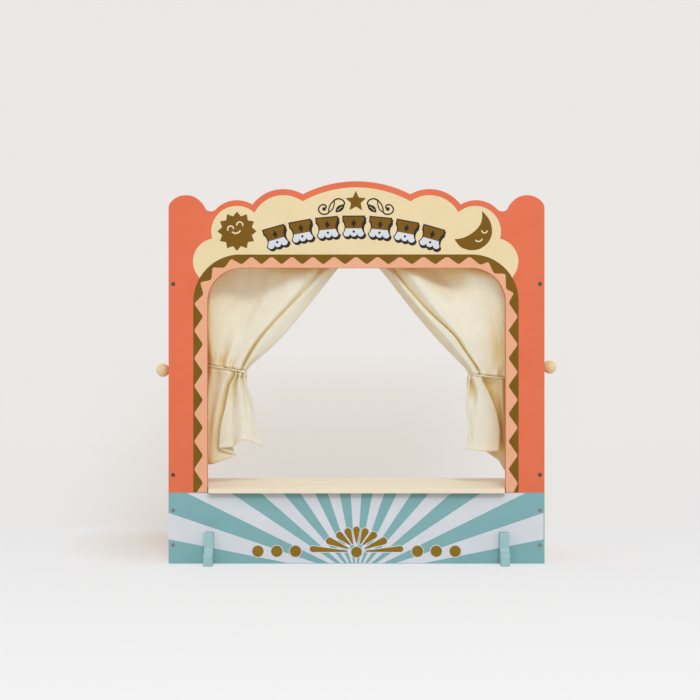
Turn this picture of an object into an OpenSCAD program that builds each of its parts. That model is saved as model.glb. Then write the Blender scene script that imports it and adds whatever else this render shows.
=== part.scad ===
// Tabletop puppet theatre: a screwed board frame with a shaped proscenium, a stage,
// two tied-back curtains on a dowel, pull knobs and slot-in feet.
// Millimetres. X runs across the stage, Y from the audience to the player, Z up.
// The origin is the middle of the footprint, on the table.

/* [Facade] */
// Width of the arch board and the plinth board
facade_w = 530; // [490:2:590]
// Height of the crown of the arch above the table
facade_h = 539; // [525:1:560]
// Thickness of the arch board and the plinth board
facade_t = 9; // [6:0.5:12]
// Height of the plinth board under the stage
plinth_h = 100; // [90:1:110]
// Radius of the crown lobe
crown_r = 166.5; // [155:0.5:175]
// Radius of the lobe beside the crown
shoulder_r = 54.8; // [50:0.2:58]
// Distance of that lobe's centre from the next one's
shoulder_pitch = 65.5; // [62:0.5:69]
// Drop of that lobe's top below the crown
shoulder_drop = 11; // [8:0.5:14]
// Radius of the lobe next to the ear
temple_r = 41.2; // [38:0.2:44]
// Distance of that lobe's centre from the ear's
temple_pitch = 72; // [69:0.5:75]
// Drop of that lobe's top below the crown
temple_drop = 26.7; // [24:0.1:30]
// Radius of the ear over each pillar
ear_r = 28.2; // [26:0.2:30]
// Distance of the ear's centre from the board's edge
ear_inset = 24.5; // [22:0.5:25]
// Drop of the ear's top below the crown
ear_drop = 19.6; // [16:0.2:24]
// Radius that rounds the ear into the board's edge
ear_corner_r = 14; // [10:0.5:18]
// Radius of the hollow between the ear and its lobe
valley_r = 10; // [8:0.5:14]

/* [Opening] */
// Width of the stage opening
opening_w = 421; // [400:1:430]
// Height of the stage opening above the plinth
opening_h = 317; // [300:1:330]
// Radius of its two top corners
opening_r = 49; // [30:0.5:60]

/* [Side boards] */
// Thickness of each side board
side_t = 12; // [10:0.5:15]
// Depth of each side board behind the facade
side_d = 113; // [100:1:140]
// Height of each side board
side_h = 480; // [462:1:490]
// Radius of its rear top corner
side_corner_r = 40; // [10:1:60]
// Overhang of the facade past each side board
side_inset = 0.5; // [0:0.1:1]

/* [Stage] */
// Thickness of the stage board
stage_t = 6; // [5:0.5:9]
// How far the stage's lip stands out in front of the facade
stage_lip = 8; // [4:0.5:14]
// Gap between the lip and each side of the opening
lip_gap = 1.8; // [1:0.1:4]
// Radius of the lip's front corners
lip_corner_r = 3; // [1:0.5:6]
// Depth of the housing that each side board has for the stage
housing_d = 3; // [2:0.5:5]

/* [Curtain rod] */
// Diameter of the dowel
rod_d = 10; // [8:0.5:12]
// Height of the dowel above the top of the opening
rod_rise = 23; // [18:1:30]
// Distance of the dowel's centre behind the facade
rod_back = 35; // [32:1:45]
// Depth of the blind hole that holds each end of the dowel
rod_socket_d = 6; // [4:0.5:8]

/* [Curtains] */
// Thickness of the cloth with its hem
cloth_t = 2; // [1.6:0.1:2.4]
// Clearance between the dowel and the pocket of cloth round it
pocket_clearance = 0.75; // [0.6:0.05:0.9]
// Gap between each curtain's outer edge and the side board
edge_room = 24.5; // [23:0.5:30]
// Thickness of the gathered waist, front to back
waist_d = 27; // [24:0.5:30]
// Depth of the folds just under the dowel
top_fold_d = 7; // [4:0.5:9]
// Depth of the folds at the hem
hem_fold_d = 18; // [12:0.5:22]

/* [Left curtain] */
// Distance of its leading edge from the centre line at the dowel
left_lead_gap = 9.5; // [9:0.5:14]
// Sag of its leading edge below a straight line to the waist
left_lead_sag = 8; // [0:0.5:12]
// Height of its waist above the table
left_waist_z = 273; // [266:1:280]
// How much lower its cord runs at the leading edge than at the outer edge
left_cord_drop = 10; // [-12:0.5:12]
// Distance of its waist from the side board
left_waist_room = 41.5; // [35:0.5:48]
// Width of its gathered waist
left_waist_w = 47.5; // [44:0.5:54]
// Height of its hem above the stage at the outer edge
left_hem_outer = 28; // [12:1:40]
// Height of its hem above the stage at the leading edge
left_hem_lead = 62; // [45:1:70]
// Reach of its hem from the side board
left_hem_reach = 118; // [100:1:122]

/* [Right curtain] */
// Distance of its leading edge from the centre line at the dowel
right_lead_gap = 13.5; // [9:0.5:14]
// Sag of its leading edge below a straight line to the waist
right_lead_sag = 4; // [0:0.5:12]
// Height of its waist above the table
right_waist_z = 263; // [258:1:280]
// How much lower its cord runs at the leading edge than at the outer edge
right_cord_drop = -7; // [-12:0.5:12]
// Distance of its waist from the side board
right_waist_room = 35.5; // [34:0.5:48]
// Width of its gathered waist
right_waist_w = 50; // [44:0.5:54]
// Height of its hem above the stage at the outer edge
right_hem_outer = 17; // [12:1:40]
// Height of its hem above the stage at the leading edge
right_hem_lead = 52; // [45:1:70]
// Reach of its hem from the side board
right_hem_reach = 93.5; // [88:0.5:122]

/* [Tie-backs] */
// Diameter of the tie cord
cord_d = 2; // [1.6:0.1:2.4]
// Clearance between the cord and the gathered cloth
cord_clearance = 0.5; // [0.3:0.1:0.9]
// Diameter of the cord's knot
knot_d = 4.4; // [3.8:0.2:5]
// Diameter of the ball knob
knob_d = 19; // [16:0.5:24]
// Mean height of the two knobs above the table
knob_z = 274; // [268:1:282]
// How far the left knob sits below that height, and the right knob above it
knob_stagger = 2.3; // [0:0.1:4]
// Gap between the knob and the side board at rest
knob_gap = 6.5; // [6.5:0.1:10]
// Depth of the blind hole in the knob
knob_hole_d = 11; // [8:0.5:12]
// Diameter of the knob's stem
stem_d = 7; // [6:0.5:9]
// Length of the stem inside the side board
stem_reach = 24; // [23:0.5:26]
// Diameter of the collar on the stem's inner end
collar_d = 12; // [10:0.5:16]
// Thickness of that collar
collar_t = 4; // [2:0.5:4]
// Depth of the hole in the stem's end that holds the cord
cord_hole_d = 6; // [4:0.5:10]

/* [Feet] */
// Thickness of each foot
foot_t = 12.5; // [9:0.5:15]
// Distance of each foot's middle from the facade's edge
foot_inset = 58; // [50:1:110]
// Height of each foot
foot_h = 45; // [38:1:55]
// Length of the toe in front of the facade
foot_toe = 22; // [18:1:30]
// Length of the tail behind the facade
foot_tail = 45; // [36:1:60]
// Thickness of the upright part before and behind the facade
foot_neck = 13; // [9:0.5:15]
// Height of the toe and the tail
toe_h = 17; // [12:0.5:19]
// Radius of the round on top of the toe's and the tail's end
toe_round = 5; // [3:0.5:7]
// Radius of the upright part's rounded corners
foot_round = 2.5; // [1:0.5:4]

/* [Screws] */
// Diameter of the screws
screw_d = 3; // [2.5:0.1:3.5]
// Diameter of their countersunk heads
screw_head_d = 6; // [5.5:0.1:7]
// Length of the screws
screw_l = 25; // [20:1:30]
// Width of the cross recess in their heads
recess_w = 3.3; // [2.8:0.1:3.5]
// Width of each of its two slots
recess_slot = 0.8; // [0.6:0.1:1]
// Depth of the recess
recess_depth = 1; // [0.7:0.1:1.2]
// Height of the plinth board's lower screws above the table
plinth_screw_low = 26; // [18:1:34]
// Height of the plinth board's upper screws above the table
plinth_screw_high = 75; // [64:1:80]
// Height of the arch board's lower screws above the table
arch_screw_low = 125; // [118:1:150]
// Height of the arch board's upper screws above the table
arch_screw_high = 394; // [340:1:424]

/* [Hidden] */
$fn = 96;

coral = [0.89, 0.46, 0.33];
teal = [0.50, 0.66, 0.67];
pale_teal = [0.59, 0.73, 0.75];
beech = [0.90, 0.84, 0.72];
calico = [0.92, 0.89, 0.81];
zinc = [0.55, 0.53, 0.50];

slide_clearance = 0.2; // beside a board in its slot or housing
round_clearance = 0.1; // around a dowel or screw, on the radius
through = 1;           // cutters reach this far past a face

// Places along Y: the facade's front face, its back face and the side boards' rear edges
front_y = -(facade_t + side_d - foot_toe) / 2;
back_y = front_y + facade_t;
rear_y = back_y + side_d;
// Places along X: the side boards' outer and inner faces
outer_x = facade_w / 2 - side_inset;
inner_x = outer_x - side_t;
screw_x = outer_x - side_t / 2;
opening_top = plinth_h + opening_h;
stage_top = plinth_h + stage_t;
rod_y = back_y + rod_back;
rod_z = opening_top + rod_rise;
foot_x = facade_w / 2 - foot_inset;
left_knob_z = knob_z - knob_stagger;
right_knob_z = knob_z + knob_stagger;

// Centres of the facade's lobes, from the ear inwards
ear_c = [facade_w / 2 - ear_inset, facade_h - ear_drop - ear_r];
temple_c = [ear_c.x - temple_pitch, facade_h - temple_drop - temple_r];
shoulder_c = [temple_c.x - shoulder_pitch, facade_h - shoulder_drop - shoulder_r];
crown_c = [0, facade_h - crown_r];

// Where circles of radius ra about a and rb about b cross, on the upper side
function circles_meet(a, ra, b, rb) =
    let (d = norm(b - a), along = (ra^2 - rb^2 + d^2) / (2 * d),
         off = sqrt(max(0, ra^2 - along^2)), u = (b - a) / d)
    a + along * u + off * [-u.y, u.x];
function bearing(from, to) = atan2(to.y - from.y, to.x - from.x);
// Points along an arc about c, from bearing a to bearing b, no more than max_turn degrees apart
max_turn = 3;
function arc(c, r, a, b) =
    let (n = max(1, ceil(abs(b - a) / max_turn)))
    [for (i = [0:n]) c + r * [cos(a + (b - a) * i / n), sin(a + (b - a) * i / n)]];
function mirrored(points) = [for (i = [len(points) - 1:-1:0]) [-points[i].x, points[i].y]];

crown_end = circles_meet(crown_c, crown_r, shoulder_c, shoulder_r);
shoulder_end = circles_meet(shoulder_c, shoulder_r, temple_c, temple_r);
valley_c = circles_meet(temple_c, temple_r + valley_r, ear_c, ear_r + valley_r);
// The arc that rounds the ear touches the board's edge and the ear's own arc
corner_dx = facade_w / 2 - ear_corner_r - ear_c.x;
corner_c = [facade_w / 2 - ear_corner_r,
            ear_c.y + sqrt(max(0, (ear_r - ear_corner_r)^2 - corner_dx^2))];

module mirror_copy() {
    children();
    mirror([1, 0, 0]) children();
}

// Stands a flat outline up in the XZ plane, from y_back forward by t
module stand_up(y_back, t) {
    translate([0, y_back, 0]) rotate([90, 0, 0]) linear_extrude(t) children();
}

// The right half of the arch board's outline, from the crown down to the plinth
function half_head() = concat(
    arc(crown_c, crown_r, 90, bearing(crown_c, crown_end)),
    arc(shoulder_c, shoulder_r, bearing(shoulder_c, crown_end), bearing(shoulder_c, shoulder_end)),
    arc(temple_c, temple_r, bearing(temple_c, shoulder_end), bearing(temple_c, valley_c)),
    arc(valley_c, valley_r, bearing(valley_c, temple_c), bearing(valley_c, ear_c)),
    arc(ear_c, ear_r, bearing(ear_c, valley_c), bearing(ear_c, corner_c)),
    arc(corner_c, ear_corner_r, bearing(ear_c, corner_c), 0),
    [[facade_w / 2, plinth_h]]);
// The right half of the opening's outline, from the plinth up to the middle of its top
function half_opening() = concat(
    [[opening_w / 2, plinth_h]],
    arc([opening_w / 2 - opening_r, opening_top - opening_r], opening_r, 0, 90));

module arch_outline() {
    polygon(concat(half_head(), half_opening(), mirrored(half_opening()), mirrored(half_head())));
}

screw_head_h = (screw_head_d - screw_d) / 2; // the head's cone is a right angle
screw_tip_d = 0.75;
// Cutters and screws point along +Y from the facade's front face at one screw
module screw_bore(depth) {
    rotate([-90, 0, 0]) {
        translate([0, 0, -through])
            cylinder(d = screw_d + 2 * round_clearance, h = depth + through);
        cylinder(d1 = screw_head_d + 2 * round_clearance, d2 = screw_d + 2 * round_clearance,
                 h = screw_head_h);
    }
}

module screw_bores(heights) {
    mirror_copy() for (z = heights)
        translate([screw_x, front_y, z]) screw_bore(screw_l + through);
}

module countersunk_screw() {
    point_l = screw_d;
    rotate([-90, 0, 0]) difference() {
        union() {
            cylinder(d1 = screw_head_d, d2 = screw_d, h = screw_head_h);
            cylinder(d = screw_d, h = screw_l - point_l);
            translate([0, 0, screw_l - point_l])
                cylinder(d1 = screw_d, d2 = screw_tip_d, h = point_l);
        }
        for (turn = [0, 90]) rotate([0, 0, turn])
            translate([-recess_w / 2, -recess_slot / 2, -through])
                cube([recess_w, recess_slot, through + recess_depth]);
    }
}

module screws(heights) {
    color(zinc) for (z = heights)
        translate([screw_x, front_y, z]) countersunk_screw();
}

module arch_board() {
    color(coral) difference() {
        stand_up(back_y, facade_t) arch_outline();
        screw_bores([arch_screw_low, arch_screw_high]);
    }
}

// The slot in the plinth and the slot in the foot each take half of the lap
lap = foot_h / 2;

module plinth_board() {
    slot_w = foot_t + 2 * slide_clearance;
    color(teal) difference() {
        translate([-facade_w / 2, front_y, 0]) cube([facade_w, facade_t, plinth_h]);
        mirror_copy() translate([foot_x - slot_w / 2, front_y - through, -through])
            cube([slot_w, facade_t + 2 * through, lap + through]);
        screw_bores([plinth_screw_low, plinth_screw_high]);
    }
}

module side_board(stem_z) {
    color(coral) difference() {
        translate([inner_x, 0, 0]) rotate([90, 0, 90]) linear_extrude(side_t) {
            translate([back_y, 0]) square([side_d, side_h - side_corner_r]);
            translate([back_y, 0]) square([side_d - side_corner_r, side_h]);
            translate([rear_y - side_corner_r, side_h - side_corner_r]) circle(side_corner_r);
        }
        // housing for the stage
        translate([inner_x - through, back_y - through, plinth_h - slide_clearance / 2])
            cube([housing_d + through, side_d + 2 * through, stage_t + slide_clearance]);
        // blind hole for the dowel
        translate([inner_x - through, rod_y, rod_z]) rotate([0, 90, 0])
            cylinder(d = rod_d + 2 * round_clearance, h = rod_socket_d + through);
        // bore for the knob's stem
        translate([inner_x - through, rod_y, stem_z]) rotate([0, 90, 0])
            cylinder(d = stem_d + 2 * round_clearance, h = side_t + 2 * through);
        screw_bores([plinth_screw_low, plinth_screw_high, arch_screw_low, arch_screw_high]);
    }
}

module stage_board() {
    lip_x = opening_w / 2 - lip_gap;
    lip_y = front_y - stage_lip;
    deck_x = inner_x + housing_d - slide_clearance;
    half = concat(
        arc([lip_x - lip_corner_r, lip_y + lip_corner_r], lip_corner_r, -90, 0),
        [[lip_x, back_y], [deck_x, back_y], [deck_x, rear_y]]);
    color(beech) translate([0, 0, plinth_h]) linear_extrude(stage_t)
        polygon(concat(half, mirrored(half)));
}

module curtain_rod() {
    rod_l = 2 * (inner_x + rod_socket_d - slide_clearance);
    color(beech) translate([-rod_l / 2, rod_y, rod_z]) rotate([0, 90, 0])
        cylinder(d = rod_d, h = rod_l);
}

// A curtain is one sheet, folded. Its rows run from the loose end of the pocket round the
// dowel, down to the waist, across the band under the cord and down to the hem. Its columns
// run from the outer edge (u = 0) to the leading edge (u = 1), with as many to each fold.
wrap_rows = 7;
hang_rows = 5;
fall_rows = 4;
waist_row = wrap_rows + hang_rows;
last_row = waist_row + 1 + fall_rows;
folds = 4;
fold_cols = 8;
last_col = folds * fold_cols;
pocket_r = rod_d / 2 + pocket_clearance + cloth_t / 2;
pocket_start = -125; // angle round the dowel where the pocket's loose end lies
band_h = 5;          // height of the straight band under the cord
waist_r = (waist_d - cloth_t) / 2;
edge_x = inner_x - edge_room;
// How the cloth changes on its way down: a power of the share of the way, or a share of the way
fold_fullness = 0.7;   // power of the sine across a fold; under 1 the fold's front is fuller
draw_in = 1.5;         // power by which the outer edge draws in to the waist
deepening = 1.6;       // power by which the folds deepen towards the waist
fold_start = 0.25;     // share of the hang over which the heading's folds open
middle_shift = 0.83;   // share of the hang over which the cloth comes to hang under the dowel
flare_out = 0.6;       // power by which the outer edge springs back under the cord
end_fade = 0.5;        // share of the hang, and of the fall, over which the waist's round ends fade
hem_rise = 0.74;       // share of the hem's width over which it rises to the leading edge
cord_offset = cloth_t / 2 + cord_clearance + cord_d / 2;

// Each drape: [heading, waist, hem, folds]
//   heading: [distance of the leading edge from the centre line, its sag]
//   waist: [height, drop of the cord, outer end, inner end]
//   hem: [height at the outer edge, height at the leading edge, leading end]
//   folds: where each fold begins and ends at the heading, the waist and the hem
left_drape = [
    [left_lead_gap, left_lead_sag],
    [left_waist_z, left_cord_drop, inner_x - left_waist_room,
     inner_x - left_waist_room - left_waist_w],
    [stage_top + left_hem_outer, stage_top + left_hem_lead, inner_x - left_hem_reach],
    [[0, 0.32, 0.62, 0.88, 1], [0, 0.3, 0.58, 0.84, 1], [0, 0.13, 0.27, 0.51, 1]]
];
right_drape = [
    [right_lead_gap, right_lead_sag],
    [right_waist_z, right_cord_drop, inner_x - right_waist_room,
     inner_x - right_waist_room - right_waist_w],
    [stage_top + right_hem_outer, stage_top + right_hem_lead, inner_x - right_hem_reach],
    [[0, 0.42, 0.79, 0.93, 1], [0, 0.36, 0.66, 0.84, 1], [0, 0.15, 0.3, 0.72, 1]]
];

function mix(a, b, t) = a + (b - a) * t;
function smooth(t) = let (c = min(1, max(0, t))) c * c * (3 - 2 * c);
// Share of the width at column share u, where fold edges lie as listed
function width_share(edges, u) =
    let (f = min(folds - 1, floor(u * folds)))
    mix(edges[f], edges[f + 1], u * folds - f);
// A fold's front is round and the valley between two folds is sharp
function ridge(u) = pow(max(0, sin(180 * (u * folds - floor(u * folds)))), fold_fullness);
// Height of the cord where it passes x
function cord_z(waist, x) =
    waist[0] + waist[1] * ((x - waist[3]) / (waist[2] - waist[3]) - 0.5);
// Share of the folds' depth left near the waist's round ends
function round_end(waist, share) =
    let (into = min(1, min(share, 1 - share) * (waist[2] - waist[3]) / waist_r))
    sqrt(1 - (1 - into)^2);

// The pocket: one turn round the dowel, from behind and below it, over its top, to its front
function wrap_point(drape, u, turn) =
    let (a = mix(pocket_start, 180, turn))
    [mix(edge_x, drape[0][0], u), rod_y + pocket_r * cos(a), rod_z + pocket_r * sin(a)];

// From the dowel's front (down = 0) to the waist (down = 1)
function hang_point(drape, u, down) =
    let (waist = drape[1],
         share = width_share(mix(drape[3][0], drape[3][1], down), u),
         lead_x = mix(drape[0][0], waist[3], down) - drape[0][1] * sin(180 * down),
         outer_x = mix(edge_x, waist[2], down^draw_in),
         x = mix(outer_x, lead_x, share),
         depth = mix(top_fold_d * smooth(down / fold_start), 2 * waist_r, down^deepening)
                 * mix(1, round_end(waist, share), smooth((down - 1) / end_fade + 1)),
         mid_y = rod_y - pocket_r * (1 - smooth(down / middle_shift)))
    [x, mid_y - depth * (ridge(u) - 0.5), mix(rod_z, cord_z(waist, x) + band_h / 2, down)];

// From under the cord (below = 0) to the hem (below = 1)
function fall_point(drape, u, below) =
    let (waist = drape[1], hem = drape[2],
         share = width_share(mix(drape[3][1], drape[3][2], below), u),
         x = mix(mix(waist[2], edge_x, below^flare_out), mix(waist[3], hem[2], below), share),
         depth = mix(2 * waist_r, hem_fold_d, below)
                 * mix(round_end(waist, share), 1, smooth(below / end_fade)),
         hem_z = mix(hem[0], hem[1], min(1, share / hem_rise)))
    [x, rod_y - depth * (ridge(u) - 0.5), mix(cord_z(waist, x) - band_h / 2, hem_z, below)];

function sheet_point(drape, u, row) =
    row <= wrap_rows ? wrap_point(drape, u, row / wrap_rows)
    : row <= waist_row ? hang_point(drape, u, (row - wrap_rows) / hang_rows)
    : fall_point(drape, u, (row - waist_row - 1) / fall_rows);

// The two skins of the sheet and the strip round its edge, as one closed mesh
module curtain(drape) {
    rows = last_row + 1;
    cols = last_col + 1;
    middle = [for (row = [0:last_row]) [for (col = [0:last_col])
        sheet_point(drape, col / last_col, row)]];
    function across(row, col) =
        middle[row][min(last_col, col + 1)] - middle[row][max(0, col - 1)];
    function down(row, col) =
        middle[min(last_row, row + 1)][col] - middle[max(0, row - 1)][col];
    function normal(row, col) =
        let (n = cross(across(row, col), down(row, col))) n / norm(n);
    skins = [for (face = [1, -1], row = [0:last_row], col = [0:last_col])
        middle[row][col] + face * cloth_t / 2 * normal(row, col)];
    function at(face, row, col) = (face * rows + row) * cols + col;
    function quad(a, b, c, d) = [[a, b, c], [a, c, d]];
    faces = [
        for (row = [0:last_row - 1], col = [0:last_col - 1]) each concat(
            quad(at(0, row, col), at(0, row + 1, col), at(0, row + 1, col + 1),
                 at(0, row, col + 1)),
            quad(at(1, row, col), at(1, row, col + 1), at(1, row + 1, col + 1),
                 at(1, row + 1, col))),
        for (col = [0:last_col - 1]) each concat(
            quad(at(0, 0, col), at(0, 0, col + 1), at(1, 0, col + 1), at(1, 0, col)),
            quad(at(0, last_row, col), at(1, last_row, col), at(1, last_row, col + 1),
                 at(0, last_row, col + 1))),
        for (row = [0:last_row - 1]) each concat(
            quad(at(0, row, 0), at(1, row, 0), at(1, row + 1, 0), at(0, row + 1, 0)),
            quad(at(0, row, last_col), at(0, row + 1, last_col), at(1, row + 1, last_col),
                 at(1, row, last_col)))
    ];
    color(calico) polyhedron(skins, faces, convexity = 10);
}

// A round cord with a ring of corners at each point of its route
cord_sides = 8;
module cord(route, up, closed) {
    n = len(route);
    function along(i) =
        closed ? route[(i + 1) % n] - route[(i + n - 1) % n]
               : route[min(n - 1, i + 1)] - route[max(0, i - 1)];
    corners = [for (i = [0:n - 1])
        let (a = cross(along(i), up) / norm(cross(along(i), up)),
             b = cross(a, along(i)) / norm(along(i)))
        for (k = [0:cord_sides - 1])
            route[i] + cord_d / 2 * (cos(360 * k / cord_sides) * a + sin(360 * k / cord_sides) * b)];
    function at(i, k) = (i % n) * cord_sides + k % cord_sides;
    walls = [for (i = [0:closed ? n - 1 : n - 2], k = [0:cord_sides - 1])
        each [[at(i, k), at(i, k + 1), at(i + 1, k + 1)], [at(i, k), at(i + 1, k + 1), at(i + 1, k)]]];
    ends = closed ? [] : [[for (k = [cord_sides - 1:-1:0]) at(0, k)],
                          [for (k = [0:cord_sides - 1]) at(n - 1, k)]];
    polyhedron(corners, concat(walls, ends), convexity = 4);
}

// The tie: a loop round the waist, a knot at its outer end and a lead into the stem
arc_step = 22.5;
straight_steps = 4;
lead_steps = 8;
lead_ease = 0.6; // share of the lead's reach over which it bends
stem_end_x = inner_x - stem_reach;
module tie_cord(drape, stem_z) {
    waist = drape[1];
    loop_r = waist_r + cord_offset;
    outer_c = waist[2] - waist_r;
    inner_c = waist[3] + waist_r;
    function on_slope(x, y) = [x, rod_y + y, cord_z(waist, x)];
    loop = concat(
        [for (a = [-90:arc_step:90]) on_slope(outer_c + loop_r * cos(a), loop_r * sin(a))],
        [for (i = [1:straight_steps - 1]) on_slope(mix(outer_c, inner_c, i / straight_steps), loop_r)],
        [for (a = [90:arc_step:270]) on_slope(inner_c + loop_r * cos(a), loop_r * sin(a))],
        [for (i = [1:straight_steps - 1]) on_slope(mix(inner_c, outer_c, i / straight_steps), -loop_r)]);
    knot_x = waist[2] + cloth_t / 2 + cord_clearance + knot_d / 2;
    knot = on_slope(knot_x, 0);
    mouth = [stem_end_x, rod_y, stem_z];
    // the lead is a smooth curve that goes straight into the stem
    pull = (stem_end_x - knot_x) * lead_ease;
    lead = concat([for (i = [0:lead_steps]) let (t = i / lead_steps)
        (1 - t)^3 * knot + 3 * (1 - t)^2 * t * (knot + [pull, 0, 0])
        + 3 * (1 - t) * t^2 * (mouth - [pull, 0, 0]) + t^3 * mouth],
        [mouth + [cord_hole_d - slide_clearance, 0, 0]]);
    color(calico) {
        cord(loop, [0, 0, 1], true);
        cord(lead, [0, 1, 0], false);
        translate(knot) sphere(d = knot_d);
    }
}

module knob(stem_z) {
    color(beech) translate([outer_x + knob_gap, rod_y, stem_z]) rotate([0, 90, 0]) difference() {
        translate([0, 0, knob_d / 2]) sphere(d = knob_d);
        translate([0, 0, -through])
            cylinder(d = stem_d + round_clearance, h = knob_hole_d + through);
    }
}

module knob_stem(stem_z) {
    length = stem_reach + side_t + knob_gap + knob_hole_d - slide_clearance;
    color(beech) translate([stem_end_x, rod_y, stem_z]) rotate([0, 90, 0]) difference() {
        union() {
            cylinder(d = stem_d, h = length);
            cylinder(d = collar_d, h = collar_t);
        }
        translate([0, 0, -through])
            cylinder(d = cord_d + 2 * round_clearance, h = cord_hole_d + through);
    }
}

// The foot's outline with the facade's front face at y = 0: from the toe's end up its sweep to
// the upright part, and down the rear sweep to the end of the tail
module foot_outline() {
    sweep_r = foot_toe - foot_neck;
    rear = facade_t + foot_tail;
    front_sweep_c = [-foot_toe, toe_h + sweep_r];
    rear_sweep_c = [facade_t + foot_neck + sweep_r, toe_h + sweep_r];
    // the round on the toe touches its end and runs into the sweep
    toe_c = [toe_round - foot_toe,
             front_sweep_c.y - sqrt((sweep_r + toe_round)^2 - toe_round^2)];
    meet = bearing(toe_c, front_sweep_c);
    polygon(concat(
        [[-foot_toe, 0]],
        arc(toe_c, toe_round, 180, meet),
        arc(front_sweep_c, sweep_r, meet - 180, 0),
        arc([foot_round - foot_neck, foot_h - foot_round], foot_round, 180, 90),
        arc([facade_t + foot_neck - foot_round, foot_h - foot_round], foot_round, 90, 0),
        arc(rear_sweep_c, sweep_r, 180, 270),
        arc([rear - toe_round, toe_h - toe_round], toe_round, 90, 0),
        [[rear, 0]]));
}

module foot() {
    color(pale_teal) difference() {
        translate([foot_x - foot_t / 2, front_y, 0]) rotate([90, 0, 90])
            linear_extrude(foot_t) foot_outline();
        translate([foot_x - foot_t / 2 - through, front_y - slide_clearance, lap])
            cube([foot_t + 2 * through, facade_t + 2 * slide_clearance, foot_h]);
    }
}

module on_left() {
    mirror([1, 0, 0]) children();
}

arch_board();
plinth_board();
on_left() side_board(left_knob_z);  // left_side_board
side_board(right_knob_z);  // right_side_board
stage_board();
curtain_rod();
on_left() curtain(left_drape);  // left_curtain
curtain(right_drape);  // right_curtain
on_left() tie_cord(left_drape, left_knob_z);  // left_tie_cord
tie_cord(right_drape, right_knob_z);  // right_tie_cord
on_left() knob(left_knob_z);  // left_knob
knob(right_knob_z);  // right_knob
on_left() knob_stem(left_knob_z);  // left_knob_stem
knob_stem(right_knob_z);  // right_knob_stem
on_left() foot();  // left_foot
foot();  // right_foot
on_left() screws([arch_screw_low, arch_screw_high]);  // left_arch_screws
screws([arch_screw_low, arch_screw_high]);  // right_arch_screws
on_left() screws([plinth_screw_low, plinth_screw_high]);  // left_plinth_screws
screws([plinth_screw_low, plinth_screw_high]);  // right_plinth_screws
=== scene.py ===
import math

import bmesh
import bpy
from mathutils import Matrix, Vector, noise


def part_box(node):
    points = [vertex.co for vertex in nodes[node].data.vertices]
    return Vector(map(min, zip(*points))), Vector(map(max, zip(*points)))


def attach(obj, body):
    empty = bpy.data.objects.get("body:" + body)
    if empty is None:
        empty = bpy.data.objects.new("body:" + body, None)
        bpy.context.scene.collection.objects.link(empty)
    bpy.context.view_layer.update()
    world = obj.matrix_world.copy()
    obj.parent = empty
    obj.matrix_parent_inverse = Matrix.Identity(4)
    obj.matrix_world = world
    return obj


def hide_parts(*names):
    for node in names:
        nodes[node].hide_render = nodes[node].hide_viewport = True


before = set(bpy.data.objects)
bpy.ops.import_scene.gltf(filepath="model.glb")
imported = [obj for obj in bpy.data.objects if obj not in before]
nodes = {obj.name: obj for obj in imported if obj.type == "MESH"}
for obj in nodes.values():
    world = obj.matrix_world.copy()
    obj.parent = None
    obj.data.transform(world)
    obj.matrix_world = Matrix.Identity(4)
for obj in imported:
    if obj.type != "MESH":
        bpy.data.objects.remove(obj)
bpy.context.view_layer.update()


# Arch board
# One lobed board with the stage opening cut out of it, routed from 9 mm birch plywood, sanded
# round on its edges and sprayed with a satin coral paint. It is screwed to the side boards.
MM = 0.001


def linear(hex_colour):
    """An sRGB hex colour as linear red, green, blue and alpha."""
    shares = [int(hex_colour[i:i + 2], 16) / 255 for i in (1, 3, 5)]
    return [c / 12.92 if c <= 0.04045 else ((c + 0.055) / 1.055) ** 2.4 for c in shares] + [1]


def fill(node, inputs):
    """Fills a node's inputs, by name or number, with values, sockets or other nodes' first results."""
    for name, value in inputs.items():
        if isinstance(name, str):
            name = next(i for i, s in enumerate(node.inputs) if s.name == name and s.enabled)
        if isinstance(value, bpy.types.Node):
            value = next(s for s in value.outputs if s.enabled)
        if isinstance(value, bpy.types.NodeSocket):
            node.id_data.links.new(value, node.inputs[name])
        else:
            node.inputs[name].default_value = value


def add(tree, kind, inputs=None, **settings):
    """Adds a node with its settings and fills its inputs."""
    made = tree.nodes.new("ShaderNode" + kind)
    for name, value in settings.items():
        setattr(made, name, value)
    fill(made, inputs or {})
    return made


def new_finish(name):
    """A new material: its node tree and its plain Principled shader."""
    material = bpy.data.materials.new(name)
    material.use_nodes = True
    return material, material.node_tree, material.node_tree.nodes["Principled BSDF"]


def spray_paint(name, colour, mottle):
    """Satin acrylic, sprayed on sanded board: an even colour with a faint cloudiness and orange peel."""
    material, tree, shader = new_finish(name)
    place = add(tree, "TexCoord").outputs["Object"]
    cloud_mm = 45
    peel_mm = 2.2
    cloud = add(tree, "TexNoise", {"Vector": place, "Scale": 1 / (cloud_mm * MM), "Detail": 4,
                                   "Roughness": 0.6})
    peel = add(tree, "TexNoise", {"Vector": place, "Scale": 1 / (peel_mm * MM), "Detail": 2})
    tone = add(tree, "ValToRGB", {"Fac": cloud})
    for stop, position, shade in zip(tone.color_ramp.elements, (0.3, 0.7), (mottle, colour)):
        stop.position = position
        stop.color = linear(shade)
    gloss = add(tree, "MapRange", {"Value": peel, "To Min": 0.42, "To Max": 0.54})
    bump = add(tree, "Bump", {"Height": peel, "Strength": 0.12, "Distance": 0.1 * MM})
    fill(shader, {"Base Color": tone, "Roughness": gloss, "Normal": bump, "IOR": 1.49,
                  "Specular IOR Level": 0.4})
    return material


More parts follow.
